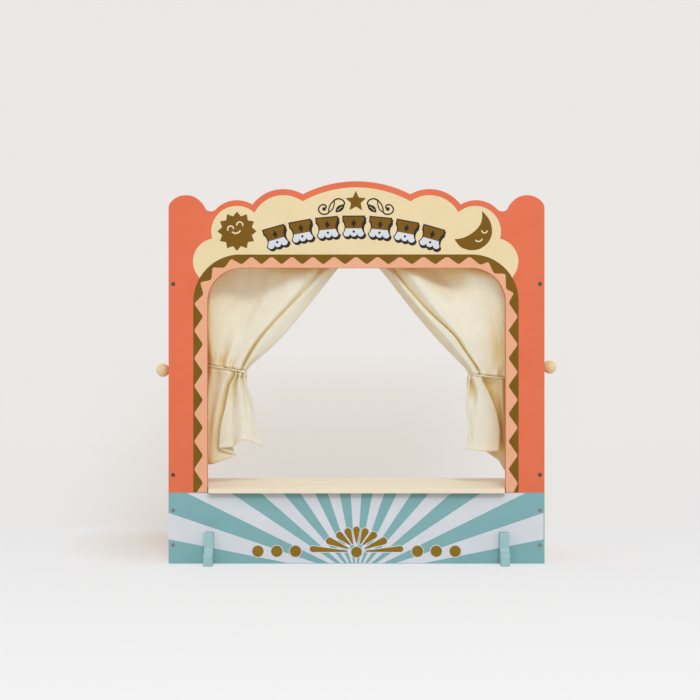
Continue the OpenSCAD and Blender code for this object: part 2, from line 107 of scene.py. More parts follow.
def ease_edges(node, radius):
    """Rounds a board's sawn edges, by a radius in mm, and keeps its faces flat."""
    board = nodes[node]
    weld = board.modifiers.new("weld", "WELD")
    weld.merge_threshold = 0.005 * MM
    # the flat faces become one polygon each, without thin triangles that the rounding would upset
    flat = board.modifiers.new("flat_faces", "DECIMATE")
    flat.decimate_type = "DISSOLVE"
    flat.angle_limit = math.radians(0.3)
    bevel = board.modifiers.new("eased_edges", "BEVEL")
    bevel.width = radius * MM
    bevel.segments = 2
    bevel.limit_method = "ANGLE"
    bevel.angle_limit = math.radians(40)
    bevel.harden_normals = True


def wear(node, material):
    """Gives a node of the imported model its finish."""
    nodes[node].data.materials.clear()
    nodes[node].data.materials.append(material)


coral_paint = spray_paint("coral_satin_paint", "#E27049", "#DD6A45")
wear("arch_board", coral_paint)
ease_edges("arch_board", 0.2)


# Side boards
# Two upright boards behind the arch board, painted as it is, that carry the dowel, the stage
# and the knobs. Each stands on the table and is screwed from the front.
for board in ("left_side_board", "right_side_board"):
    wear(board, coral_paint)
    ease_edges(board, 0.6)


# Plinth board
# The board under the stage, of the same plywood as the arch board but sprayed teal. The feet
# slot into it from below, and it is screwed to the side boards.
teal_paint = spray_paint("teal_satin_paint", "#7FB0B3", "#7AAAAE")


def paint_shade_under_lip(material):
    """Painted shade in the corner under the stage's lip: the paint is mixed towards a dark colour where the
    lip closes it in.
    """
    tree = material.node_tree
    shader = tree.nodes["Principled BSDF"]
    unshaded = shader.inputs["Base Color"].links[0].from_socket
    place = add(tree, "TexCoord").outputs["Object"]
    height = add(tree, "SeparateXYZ", {"Vector": place}).outputs["Z"]
    corner_mm = 26
    near = add(tree, "AmbientOcclusion", {"Distance": corner_mm * MM}, samples=8).outputs["AO"]
    corner = add(tree, "MapRange", {"Value": near, "From Min": 0.8, "From Max": 0.97,
                                    "To Min": 0.3, "To Max": 0})
    # the painted shade is kept off the lower part, which the feet and the table come near
    high = add(tree, "MapRange", {"Value": height, "From Min": 50 * MM, "From Max": 65 * MM})
    # painted shade: the dark mix grows where the lip is near, above the plinth's lower part
    lip_shade = add(tree, "Math", {0: corner, 1: high}, operation="MULTIPLY")
    lip_shaded = add(tree, "Mix", {"Factor": lip_shade, "A": unshaded, "B": linear("#2C2B24")}, data_type="RGBA")
    fill(shader, {"Base Color": lip_shaded})


paint_shade_under_lip(teal_paint)
wear("plinth_board", teal_paint)
ease_edges("plinth_board", 0.6)


# Feet
# Two pieces of 12.5 mm board, sawn to shape and sprayed a paler teal than the plinth. Each is
# slotted, and lapped crosswise into a slot of the plinth board.
pale_teal_paint = spray_paint("pale_teal_satin_paint", "#9DC3C6", "#96BCBF")
for foot in ("left_foot", "right_foot"):
    wear(foot, pale_teal_paint)
    ease_edges(foot, 0.6)


# Printed cloud field
# Screen-printed cream ink on the arch board: it follows the lobes at an even distance and ends
# under the zigzag border.
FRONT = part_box("arch_board")[0].y / MM
PLINTH_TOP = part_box("plinth_board")[1].z / MM
# one coat of ink
INK = 0.06


def arc(centre, radius, start, end, step=4):
    """Points along an arc, in degrees."""
    count = max(1, math.ceil(abs(end - start) / step))
    turns = [math.radians(start + (end - start) * i / count) for i in range(count + 1)]
    return [(centre[0] + radius * math.cos(t), centre[1] + radius * math.sin(t)) for t in turns]


def bearing(start, end):
    """The direction from one point to another, in degrees."""
    return math.degrees(math.atan2(end[1] - start[1], end[0] - start[0]))


def mirrored(points):
    """The other half of an outline, so that it goes on from where the first half ends."""
    return [(-x, z) for x, z in reversed(points)]


def new_piece(name, mesh, material):
    """Puts a mesh into the scene under a name and with its material."""
    mesh.name = name
    mesh.materials.clear()
    mesh.materials.append(material)
    piece = bpy.data.objects.new(name, mesh)
    bpy.context.scene.collection.objects.link(piece)
    return piece


def face_outwards(mesh, weld=0):
    """Joins points that lie closer than the weld, and turns all faces of a closed mesh outwards."""
    work = bmesh.new()
    work.from_mesh(mesh)
    if weld:
        bmesh.ops.remove_doubles(work, verts=work.verts, dist=weld)
    bmesh.ops.recalc_face_normals(work, faces=work.faces)
    work.to_mesh(mesh)
    work.free()


def print_ink(name, outlines, coats, material):
    """Closed outlines, in mm across and up, as ink on the facade's front that is some coats thick."""
    curve = bpy.data.curves.new(name, "CURVE")
    curve.dimensions = "2D"
    curve.fill_mode = "BOTH"
    curve.extrude = (coats + 0.5) * INK / 2 * MM
    for outline in outlines:
        spline = curve.splines.new("POLY")
        spline.points.add(len(outline) - 1)
        spline.use_cyclic_u = True
        for point, (x, z) in zip(spline.points, outline):
            point.co = (x * MM, z * MM, 0, 1)
    shape = bpy.data.objects.new(name + "_outline", curve)
    bpy.context.scene.collection.objects.link(shape)
    bpy.context.view_layer.update()
    mesh = bpy.data.meshes.new_from_object(shape.evaluated_get(bpy.context.evaluated_depsgraph_get()))
    bpy.data.objects.remove(shape)
    # the ink reaches half a coat into the board
    middle = Matrix.Translation((0, (FRONT - (coats - 0.5) * INK / 2) * MM, 0))
    mesh.transform(middle @ Matrix.Rotation(math.radians(90), 4, "X"))
    face_outwards(mesh, weld=0.002 * MM)
    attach(new_piece(name, mesh, material), "frame")


def screen_ink(name, colour, shade, roughness=0.5):
    """Screen-printing ink: matt and flat, with the faint grain of the mesh that it went through."""
    material, tree, shader = new_finish(name)
    place = add(tree, "TexCoord").outputs["Object"]
    # the real mesh's 0.1 mm grain shows in no pixel, so it is drawn much coarser
    grain_mm = 1.6
    patch_mm = 30
    grain = add(tree, "TexNoise", {"Vector": place, "Scale": 1 / (grain_mm * MM), "Detail": 3,
                                   "Roughness": 0.7})
    patch = add(tree, "TexNoise", {"Vector": place, "Scale": 1 / (patch_mm * MM), "Detail": 3})
    both = add(tree, "Math", {0: grain, 1: patch}, operation="ADD")
    tone = add(tree, "MapRange", {"Value": both, "From Min": 0.7, "From Max": 1.3})
    colours = add(tree, "Mix", {"Factor": tone, "A": linear(shade), "B": linear(colour)}, data_type="RGBA")
    bump = add(tree, "Bump", {"Height": grain, "Strength": 0.1, "Distance": 0.05 * MM})
    fill(shader, {"Base Color": colours, "Normal": bump, "Roughness": roughness,
                  "Specular IOR Level": 0.2})
    return material


cream_ink = screen_ink("cream_screen_ink", "#E9D8AC", "#E4D2A5")

# the cream stops this far inside the board's edge
cream_inset = 8.7
crown = (0, 372.5)
crown_r = 166.5 - cream_inset
shoulder = (103, 473.2)
shoulder_r = 54.8 - cream_inset
temple = (168.6, 468)
temple_r = 36.2
low_lobe = (198, 426)
low_lobe_r = 32.5
cloud_valleys = [(76, 511.8), (143, 496)]
cloud_notch = (203.2, 458.2)
border_x = 230
border_top = 435.8
border_r = 66.5
foot_z = PLINTH_TOP + 0.6


def border_path(x, top, radius):
    """Half of an upside-down U round the opening, from the plinth up to the middle of its top."""
    return [(x, foot_z)] + arc((x - radius, top - radius), radius, 0, 90)


def half_cloud(lean):
    """One side of the cloud. The lean is how far its outer lobes lie towards the middle."""
    high = (temple[0] - lean / 2, temple[1])
    notch = (cloud_notch[0] - lean, cloud_notch[1])
    low = (low_lobe[0] - lean, low_lobe[1])
    valley, far_valley = cloud_valleys
    # its lower edge lies under the gold border, and the low lobe ends there
    under_border = border_r - 4
    return (arc(crown, crown_r, 90, bearing(crown, valley))
            + arc(shoulder, shoulder_r, bearing(shoulder, valley), bearing(shoulder, far_valley))
            + arc(high, temple_r, bearing(high, far_valley), bearing(high, notch))
            + arc(low, low_lobe_r, bearing(low, notch), -40)
            + arc((border_x - border_r, border_top - border_r), under_border, 28, 90))


# the screen was cut by hand, and its right-hand lobes lie a little further in
print_ink("printed_cloud_field", [half_cloud(2.5) + mirrored(half_cloud(0))], 1, cream_ink)


# Printed zigzag border
# Gold ink teeth on a peach band round the opening. The teeth were drawn by hand, so their pitch
# wanders; both inks stop just short of the eased edge of the opening.
peach_ink = screen_ink("peach_screen_ink", "#E9AE8B", "#E5A884")
gold_ink = screen_ink("gold_screen_ink", "#7C590B", "#735108", 0.6)
opening_x = 210.5
opening_top = 417
opening_r = 49
edge_gap = 0.05
# the border's right-hand side lies a little further in, and the peach ends under the gold
drift = 1.6
under = 0.4
band_right = border_path(border_x - drift - under, border_top - under, border_r - drift / 2 - under)
band_left = mirrored(border_path(border_x - under, border_top - under, border_r - under))
band_inner = border_path(opening_x + edge_gap, opening_top + edge_gap, opening_r + edge_gap)
band = band_right + band_left[1:] + mirrored(band_inner)[::-1] + band_inner[-2::-1]
print_ink("printed_peach_band", [band], 1, peach_ink)


def rounded(points, radius):
    """A polyline with each inner corner rounded off."""
    done = [points[0]]
    for before, here, after in zip(points, points[1:], points[2:]):
        a = Vector(before) - Vector(here)
        b = Vector(after) - Vector(here)
        cut = min(radius, a.length * 0.45, b.length * 0.45)
        start = Vector(here) + a.normalized() * cut
        end = Vector(here) + b.normalized() * cut
        for i in range(6):
            t = i / 5
            spot = start * (1 - t) ** 2 + Vector(here) * 2 * t * (1 - t) + end * t ** 2
            done.append((spot.x, spot.y))
    return done + [points[-1]]


tooth_pitch = 39.07
low_tip_z = 113.6
left_teeth = [(-225.3, foot_z)]
right_teeth = [(221.3, foot_z)]
for k in range(7):
    tip_z = low_tip_z + k * tooth_pitch
    dip_z = low_tip_z + (k + 0.5) * tooth_pitch
    left_teeth += [(-216.3, tip_z), (-229.2, dip_z)]
    right_teeth += [(227.5, tip_z), (214, dip_z)]
left_teeth[-1] = (-229, 366.5)
left_corner = [(-215.8, 379.5), (-220.4, 396.6), (-204.6, 400), (-203, 417.6), (-186, 417), (-176.8, 430)]
top_tips = [-162, -134, -105.5, -76.5, -47, -16, 14.5, 45, 78, 111, 144, 174.3]
top_teeth = []
for here, after in zip(top_tips, top_tips[1:]):
    top_teeth += [(here, 421.6), ((here + after) / 2, 433.3)]
right_corner = [(174.3, 421), (185.9, 425.6), (193.6, 409), (210.1, 408.7), (210.8, 387.2),
                (221.9, 381.4), (214.6, 367.8)]
teeth = rounded(left_teeth + left_corner + top_teeth + right_corner + right_teeth[-2::-1], 3.2)
right_half = border_path(border_x - drift, border_top, border_r - drift / 2)
left_half = mirrored(border_path(border_x, border_top, border_r))
print_ink("printed_gold_zigzag", [teeth + right_half + left_half[1:]], 3, gold_ink)


# Printed ornaments on the head
# A sun, a moon, a star and two scrolls of the plain kinds that fairground painters use, with a
# row of valance tabs along the arch, all screen-printed in gold, white and dark ink.
white_ink = screen_ink("white_screen_ink", "#D9DDE3", "#D1D6DD")
dark_ink = screen_ink("dark_screen_ink", "#2E2620", "#251E19")


def through(knots, values, t):
    """A smooth curve through values at the knots, by Catmull and Rom's rule."""
    i = max(k for k in range(len(knots) - 1) if knots[k] <= t or k == 0)
    span = knots[i + 1] - knots[i]
    s = (t - knots[i]) / span

    def slope(k):
        """The curve's rise at a knot, over this span."""
        low, high = max(k - 1, 0), min(k + 1, len(knots) - 1)
        return (values[high] - values[low]) * (span / (knots[high] - knots[low]))

    return (values[i] * (1 + 2 * s) * (1 - s) ** 2 + slope(i) * s * (1 - s) ** 2
            + values[i + 1] * s * s * (3 - 2 * s) + slope(i + 1) * s * s * (s - 1))


def flowing(points, per_step=6):
    """A smooth line through points in the plane or in space."""
    knots = list(range(len(points)))
    turns = [i / per_step for i in range(per_step * (len(points) - 1) + 1)]
    axes = range(len(points[0]))
    return [tuple(through(knots, [p[axis] for p in points], t) for axis in axes) for t in turns]


def star(centre, outer, inner, points):
    """A star with straight rays, one of them upwards."""
    corners = []
    for i in range(2 * points):
        turn = 90 + i * 180 / points
        corners += arc(centre, inner if i % 2 else outer, turn, turn)[:1]
    return corners


def ring_rounded(points, radius):
    """A closed outline with all its corners rounded."""
    return rounded([points[-1]] + points + [points[0]], radius)[1:-1]


def stroke(points, width):
    """A brush stroke of even width with round ends, as a closed outline."""
    line = [Vector(p) for p in points]
    left, right = [], []
    for i, here in enumerate(line):
        way = (line[min(i + 1, len(line) - 1)] - line[max(i - 1, 0)]).normalized()
        side = Vector((-way.y, way.x)) * width / 2
        left.append(tuple(here + side))
        right.append(tuple(here - side))
    start = bearing(points[0], points[1])
    end = bearing(points[-2], points[-1])
    cap_end = arc(points[-1], width / 2, end + 90, end - 90, 30)[1:-1]
    cap_start = arc(points[0], width / 2, start - 90, start - 270, 30)[1:-1]
    return left + cap_end + right[::-1] + cap_start


left_eye = stroke(arc((-177.4, 471.6), 4.2, 200, 10, 12), 2)
right_eye = stroke(arc((-164.6, 477.4), 4.2, 180, -10, 12), 2)
sun_smile = stroke(arc((-170.4, 473), 7.4, 232, 328, 12), 2.1)
print_ink("printed_gold_sun", [ring_rounded(star((-168.5, 468.5), 27.8, 21.6, 12), 1.2)], 3, gold_ink)
print_ink("printed_sun_face", [left_eye, right_eye, sun_smile], 5, cream_ink)

moon_edge = [(138, 457), (146, 447), (155, 442.8), (163, 441.7), (174, 443.8), (184, 451), (190, 461.5),
             (190.8, 473), (187, 485), (177.2, 497.2)]
moon_hollow = [(177.2, 497.2), (177, 487), (174.8, 479), (169.4, 471.5), (161, 464.6), (150.5, 459.2),
               (138, 457)]
crescent = flowing(moon_edge)[:-1] + flowing(moon_hollow)[:-1]
moon_eye = stroke(arc((180.4, 469.8), 3.8, 190, 345, 12), 1.8)
moon_smile = stroke(arc((172, 459.4), 5.4, 225, 335, 12), 1.9)
print_ink("printed_gold_moon", [ring_rounded(crescent, 1.6)], 3, gold_ink)
print_ink("printed_moon_face", [moon_eye, moon_smile], 5, cream_ink)
print_ink("printed_gold_star", [ring_rounded(star((-1, 510.4), 15.2, 7.1, 5), 0.8)], 3, gold_ink)

# the left-hand scroll: a curl from a dot, a hollow pod, and a stem that ends in a veined leaf
curl = flowing([(-45.7, 499.8), (-42.8, 502), (-43.8, 505), (-47.6, 506), (-51.8, 503.6), (-53.6, 498.6),
                (-50.8, 494), (-45.7, 492.3), (-41, 493.4), (-38.8, 495.6)])
curl_dot = arc((-45.7, 499.8), 2.7, 0, 330, 30)
pod_left = flowing([(-39.2, 495.2), (-38.8, 500.4), (-36.2, 507), (-31.1, 512.6)])
pod_right = flowing([(-39.2, 495.2), (-35.2, 498), (-32.2, 503.4), (-31.1, 512.6)])
stem = flowing([(-31.1, 512.6), (-25.5, 514.3), (-19.9, 512.6), (-17, 508.4), (-18.2, 504.2)])
leaf = flowing([(-17, 506.4), (-21, 506), (-27.4, 502.8), (-29.4, 495.6), (-23.2, 496.2), (-18.2, 500.4),
                (-17, 506.4)])
vein = flowing([(-27, 498), (-24, 500.2), (-20.4, 503.2)])
dark_lines = [stroke(curl, 2), stroke(pod_left, 1.8), stroke(stem, 2), curl_dot, leaf[:-1]]
scroll = [
    ("scroll_line", 3, dark_lines, dark_ink),
    ("scroll_pod", 4, [stroke(pod_right, 1.6)], dark_ink),
    ("leaf_vein", 5, [stroke(vein, 0.7)], cream_ink),
]
mirror_line = -0.8
for label, coats, lines, ink in scroll:
    for i, line in enumerate(lines):
        # lines that touch differ in thickness, so that no two faces lie at the same height
        own_coats = coats + i * 0.3
        other_side = [(2 * mirror_line - x, z) for x, z in reversed(line)]
        print_ink(f"printed_left_{label}_{i + 1}", [line], own_coats, ink)
        print_ink(f"printed_right_{label}_{i + 1}", [other_side], own_coats, ink)

garland_r = 400
garland_centre = (-4, 475 - garland_r)
tab_count = 7
tab_pitch = 37
tab_w = 29
tab_h = 28
tab_head_h = 5
tab_waist = 3.2
outline_w = 1.6
shadow_drop = (1.7, -2.4)


def valance_tab(grow):
    """A tab with a straight head, a waisted body and three scallops along its foot."""
    half = tab_w / 2
    scallop_r = tab_w / 6
    scallop_z = scallop_r - tab_h / 2
    meet = math.degrees(math.acos(scallop_r / (scallop_r + grow)))
    neck_z = tab_h / 2 - tab_head_h - grow
    right = [(half + grow, tab_h / 2 + grow), (half + grow, neck_z)]
    for i in range(11):
        t = i / 10
        nip = tab_waist * math.sin(math.pi * t) ** 0.7
        right.append((half + grow - nip, neck_z * (1 - t) + scallop_z * t))
    feet = (arc((2 * scallop_r, scallop_z), scallop_r + grow, 0, meet - 180, 15)
            + arc((0, scallop_z), scallop_r + grow, -meet, meet - 180, 15)
            + arc((-2 * scallop_r, scallop_z), scallop_r + grow, -meet, -180, 15))
    return right + feet + mirrored(right)


def on_garland(k, points):
    """An outline moved to the place of one tab in the row."""
    turn = math.degrees((k - (tab_count - 1) / 2) * tab_pitch / garland_r)
    spot = arc(garland_centre, garland_r, 90 - turn, 90 - turn)[0]
    place = Matrix.Translation((*spot, 0)) @ Matrix.Rotation(math.radians(-turn), 4, "Z")
    return [tuple((place @ Vector((x, z, 0))).xy) for x, z in points]


tab_outline = valance_tab(outline_w)
tab_shadow = [(x + shadow_drop[0], z + shadow_drop[1]) for x, z in tab_outline]
tab_face = valance_tab(0)
# the face is gold above this height and white below it
parting = -2.5
upper = [(x, z) for x, z in tab_face if x > 0 and z > parting]
upper.append((upper[-1][0], parting))
gold_part = upper + mirrored(upper)
white_part = [upper[-1]] + [p for p in tab_face if p[1] <= parting] + [mirrored(upper)[0]]
diamond = [(0, 10), (3.6, 4.6), (0, -0.8), (-3.6, 4.6)]
tab_dot = arc((0, -7), 1.7, 0, 330, 30)
for k in range(tab_count):
    print_ink(f"printed_tab_shadow_{k + 1}", [on_garland(k, tab_shadow)], 3, dark_ink)
    print_ink(f"printed_tab_outline_{k + 1}", [on_garland(k, tab_outline)], 3.5, dark_ink)
tab_marks = [on_garland(k, mark) for k in range(tab_count) for mark in (diamond, tab_dot)]
print_ink("printed_gold_tabs", [on_garland(k, gold_part) for k in range(tab_count)], 5, gold_ink)
print_ink("printed_white_tabs", [on_garland(k, white_part) for k in range(tab_count)], 5, white_ink)
print_ink("printed_tab_marks", tab_marks, 7, dark_ink)


# Printed rays on the plinth
# White rays that fan out from a point just under the plinth, with a gold fan of drops and a row
# of gold dots on them, each with a fine white line round it.
ray_centre = (-0.7, -18.2)
ray_pitch = 15
ray_turn = 7.5
plinth_gap = 0.7
arch_low, arch_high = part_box("arch_board")
half_w = (arch_high.x - arch_low.x) / MM / 2 - plinth_gap
low_z = plinth_gap
high_z = PLINTH_TOP - plinth_gap


def to_edge(turn):
    """Where a ray from the centre of the fan leaves the plinth."""
    way = Vector((math.cos(math.radians(turn)), math.sin(math.radians(turn))))
    reach = (high_z - ray_centre[1]) / way.y
    if abs(way.x) * reach > half_w:
        reach = half_w / abs(way.x)
    return (ray_centre[0] + way.x * reach, ray_centre[1] + way.y * reach)


def to_foot(turn):
    """Where a ray from the centre of the fan crosses the plinth's lower edge."""
    return (ray_centre[0] + (low_z - ray_centre[1]) / math.tan(math.radians(turn)), low_z)


plinth_corner = bearing(ray_centre, (half_w, high_z))
white_rays = []
for k in range(1, 12):
    start = ray_pitch * k - ray_turn / 2
    end = start + ray_turn
    outer = [to_edge(start)]
    for corner, x in ((plinth_corner, half_w), (180 - plinth_corner, -half_w)):
        if start < corner < end:
            outer.append((x, high_z))
    white_rays.append([to_foot(start)] + outer + [to_edge(end), to_foot(end)])
plinth_white = screen_ink("plinth_white_screen_ink", "#D9DDE3", "#D1D6DD")
# the white rays get the same painted shade under the stage's lip
paint_shade_under_lip(plinth_white)
print_ink("printed_white_rays", white_rays, 1, plinth_white)


def drop(thin, thin_r, blunt, blunt_r):
    """A drop: round at both ends, with straight sides."""
    way = bearing(thin, blunt)
    length = (Vector(blunt) - Vector(thin)).length
    lean = math.degrees(math.acos((thin_r - blunt_r) / length))
    blunt_end = arc(blunt, blunt_r, way - lean, way + lean, 12)
    return blunt_end + arc(thin, thin_r, way + lean, way + 360 - lean, 30)


# each drop: its thin end, its blunt end and the blunt end's radius
drops = [
    ((0, 30), (0, 47.6), 4.7), ((5.5, 28.2), (12.1, 45.1), 5), ((8.9, 26.8), (24, 40), 5),
    ((12.1, 21.6), (38.1, 32), 5), ((13.5, 17.5), (61.7, 20.6), 4.2),
]
thin_end_r = 0.9
dots_x = [86, 112.4, 139]
dots_z = 17.5
dots_r = 8


def fan_outlines(grow):
    """The fan's middle disc, its drops and the row of dots, all made larger by some mm."""
    outlines = [arc((0, 16.3), 7.6 + grow, 0, 350, 10)]
    for thin, blunt, radius in drops:
        shape = drop(thin, thin_end_r + grow, blunt, radius + grow)
        outlines += [shape] if blunt[0] == 0 else [shape, mirrored(shape)]
    for x in dots_x:
        outlines += [arc((side * x, dots_z), dots_r + grow, 0, 350, 10) for side in (-1, 1)]
    return outlines


# the white lines round neighbouring drops run into each other, so each is a print of its own
for i, outline in enumerate(fan_outlines(1.1)):
    print_ink(f"printed_fan_outline_{i + 1}", [outline], 2 + i % 3 * 0.25, plinth_white)
plinth_gold = screen_ink("plinth_gold_screen_ink", "#91721C", "#866917", 0.6)
print_ink("printed_gold_fan", fan_outlines(0), 5, plinth_gold)


# Stage board
# A plain board of pale pine, planed and sanded, let into the side boards. Its lip comes out over
# the plinth with small round corners.
def bare_wood(name, pale, dark, grain_mm):
    """Sanded, unfinished wood: matt, with long fine fibres and wider, faint growth bands along X."""
    material, tree, shader = new_finish(name)
    place = add(tree, "TexCoord").outputs["Object"]
    band_mm = 9
    band_run_mm = 140
    fibre_run_mm = 26
    band_scales = [1 / (mm * MM) for mm in (band_run_mm, band_mm, band_mm)]
    fibre_scales = [1 / (mm * MM) for mm in (fibre_run_mm, grain_mm, grain_mm)]
    bands_at = add(tree, "Mapping", {"Vector": place, "Scale": band_scales})
    fibres_at = add(tree, "Mapping", {"Vector": place, "Scale": fibre_scales})
    bands = add(tree, "TexNoise", {"Vector": bands_at, "Scale": 1, "Detail": 4, "Distortion": 0.6})
    fibres = add(tree, "TexNoise", {"Vector": fibres_at, "Scale": 1, "Detail": 5, "Roughness": 0.65})
    both = add(tree, "Math", {0: bands, 1: fibres}, operation="ADD")
    tone = add(tree, "MapRange", {"Value": both, "From Min": 0.7, "From Max": 1.25})
    colours = add(tree, "Mix", {"Factor": tone, "A": linear(dark), "B": linear(pale)}, data_type="RGBA")
    bump = add(tree, "Bump", {"Height": fibres, "Strength": 0.25, "Distance": 0.12 * MM})
    fill(shader, {"Base Color": colours, "Normal": bump, "Roughness": 0.6, "Specular IOR Level": 0.35})
    return material


def darken_sides(material, colour):
    """Painted shade on the board's sides: faces that turn away from straight up are mixed towards a darker
    colour, partly for the sawn edge's own darker grain and partly as shade.
    """
    tree = material.node_tree
    shader = tree.nodes["Principled BSDF"]
    planed = shader.inputs["Base Color"].links[0].from_socket
    normal = add(tree, "NewGeometry").outputs["Normal"]
    upwards = add(tree, "SeparateXYZ", {"Vector": normal}).outputs["Z"]
    share = add(tree, "MapRange", {"Value": upwards, "From Min": 0.3, "From Max": 0.8,
                                   "To Min": 0.5, "To Max": 0})
    side_shaded = add(tree, "Mix", {"Factor": share, "A": planed, "B": linear(colour)}, data_type="RGBA")
    fill(shader, {"Base Color": side_shaded})


stage_wood = bare_wood("sanded_pine", "#F7F0D8", "#F0E4C8", 1.1)
darken_sides(stage_wood, "#E3D6BB")
wear("stage_board", stage_wood)
ease_edges("stage_board", 0.5)


# Curtain dowel
# A 10 mm beech dowel, sanded, in blind holes in the side boards. The curtains' pockets run on it.
dowel_wood = bare_wood("beech_dowel", "#E2CDA4", "#CDB283", 0.7)
wear("curtain_rod", dowel_wood)


# Knobs and stems
# Turned balls of sanded beech outside the side boards. Each is glued on a turned stem that slides
# in a bore of the board and draws the curtain.
ball_wood = bare_wood("turned_beech", "#ECDDB0", "#DDC896", 0.9)
for side in ("left", "right"):
    wear(f"{side}_knob", ball_wood)
    wear(f"{side}_knob_stem", ball_wood)
    for polygon in nodes[f"{side}_knob"].data.polygons:
        polygon.use_smooth = True


# Screws
# Countersunk cross-recess screws of zinc-plated steel, driven from the front into the side boards.
# The plate is dull, and drawn brown in the arch board and grey in the plinth.
def dull_zinc(name, dark, pale):
    """Zinc plate that has lost its shine: soft reflections and small stains."""
    material, tree, shader = new_finish(name)
    place = add(tree, "TexCoord").outputs["Object"]
    stain_mm = 0.8
    stains = add(tree, "TexNoise", {"Vector": place, "Scale": 1 / (stain_mm * MM), "Detail": 4})
    tone = add(tree, "Mix", {"Factor": stains, "A": linear(dark), "B": linear(pale)}, data_type="RGBA")
    fill(shader, {"Base Color": tone, "Metallic": 0.85, "Roughness": 0.45})
    return material


zinc_tones = {"arch": ("#4E4136", "#7C7063"), "plinth": ("#7C8987", "#98A5A3")}
for board, tones in zinc_tones.items():
    zinc = dull_zinc(f"{board}_screw_zinc", *tones)
    for side in ("left", "right"):
        wear(f"{side}_{board}_screws", zinc)


# Curtains
# Two lengths of unbleached calico, each with a pocket sewn round the dowel and a narrow hem,
# gathered at the waist by a cord. The folds follow the creases that the cord makes in the cloth.
def woven_calico():
    """Plain weave of uneven cotton threads: matt, slubby, with a soft nap, and with painted ochre shade in
    its hollows, on faces turned sideways and near the boards.
    """
    material, tree, shader = new_finish("unbleached_calico")
    # the real threads lie 0.45 mm apart, which no pixel shows, so they are drawn at twice that
    thread_mm = 0.9
    slub_mm = 0.8
    slub_run_mm = 14
    blotch_mm = 22
    crinkle_mm = 6
    cloth = add(tree, "UVMap", uv_map="cloth_mm").outputs["UV"]
    parts = add(tree, "SeparateXYZ", {"Vector": cloth})
    threads = []
    for axis in ("X", "Y"):
        turn = add(tree, "Math", {0: parts.outputs[axis], 1: 2 * math.pi / thread_mm}, operation="MULTIPLY")
        threads.append(add(tree, "Math", {0: turn}, operation="SINE"))
    checks = add(tree, "Math", {0: threads[0], 1: threads[1]}, operation="MULTIPLY")
    long_slubs = []
    for run, thick in ((slub_run_mm, slub_mm), (slub_mm, slub_run_mm)):
        at = add(tree, "Mapping", {"Vector": cloth, "Scale": (1 / run, 1 / thick, 1)})
        long_slubs.append(add(tree, "TexNoise", {"Vector": at, "Scale": 1, "Detail": 3}))
    slubs = add(tree, "Math", {0: long_slubs[0], 1: long_slubs[1]}, operation="ADD")
    blotch = add(tree, "TexNoise", {"Vector": cloth, "Scale": 1 / blotch_mm, "Detail": 4})
    tone = add(tree, "Math", {0: slubs, 1: blotch}, operation="ADD")
    share = add(tree, "MapRange", {"Value": tone, "From Min": 1.1, "From Max": 1.9})
    woven = add(tree, "Mix", {"Factor": share, "A": linear("#E8E4CD"), "B": linear("#F0EDDC")},
                data_type="RGBA")
    # painted shade: the cloth is mixed towards ochre in its hollows and where it faces sideways, for the
    # warm light that comes through the cloth into its shade
    near_cloth = add(tree, "AmbientOcclusion", {"Distance": 14 * MM}, samples=8, only_local=True)
    hollow = add(tree, "MapRange", {"Value": near_cloth.outputs["AO"], "From Min": 0.2, "From Max": 0.86,
                                    "To Min": 0.7, "To Max": 0})
    normal = add(tree, "NewGeometry").outputs["Normal"]
    faces_x = add(tree, "SeparateXYZ", {"Vector": normal}).outputs["X"]
    sideways = add(tree, "Math", {0: faces_x}, operation="ABSOLUTE")
    turned = add(tree, "MapRange", {"Value": sideways, "From Min": 0.35, "From Max": 0.9, "To Max": 0.6})
    painted_shade_share = add(tree, "Math", {0: hollow, 1: turned}, operation="MAXIMUM")
    shade_painted_cloth = add(tree, "Mix", {"Factor": painted_shade_share, "A": woven, "B": linear("#D8BD85")}, data_type="RGBA")
    # painted shade near the boards: cloth that the boards close in is mixed towards a deeper ochre
    near_boards = add(tree, "AmbientOcclusion", {"Distance": 50 * MM}, samples=8)
    shaded = add(tree, "MapRange", {"Value": near_boards.outputs["AO"], "From Min": 0.4, "From Max": 0.87,
                                    "To Min": 1, "To Max": 0})
    colours = add(tree, "Mix", {"Factor": shaded, "A": shade_painted_cloth, "B": linear("#E0C880")}, data_type="RGBA")
    height = add(tree, "Math", {0: checks, 1: slubs}, operation="ADD")
    # washed cotton keeps small crinkles between the folds
    crinkle = add(tree, "TexNoise", {"Vector": cloth, "Scale": 1 / crinkle_mm, "Detail": 3,
                                     "Roughness": 0.55})
    crinkled = add(tree, "Bump", {"Height": crinkle, "Strength": 0.5, "Distance": 1.6 * MM})
    bump = add(tree, "Bump", {"Height": height, "Strength": 0.35, "Distance": 0.12 * MM,
                              "Normal": crinkled})
    fill(shader, {
        "Base Color": colours, "Normal": bump, "Roughness": 0.85, "Specular IOR Level": 0.2,
        "Subsurface Weight": 0.5, "Subsurface Radius": (1.0, 0.85, 0.6), "Subsurface Scale": 2.5 * MM,
        "Sheen Weight": 0.25, "Sheen Roughness": 0.5,
    })
    return material


calico = woven_calico()
rod_low, rod_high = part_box("curtain_rod")
ROD_Y = (rod_low.y + rod_high.y) / 2 / MM
ROD_Z = (rod_low.z + rod_high.z) / 2 / MM
POCKET_R = 6.75
# drawn about twice as thick as real calico, so that the edges show
CLOTH = 0.9

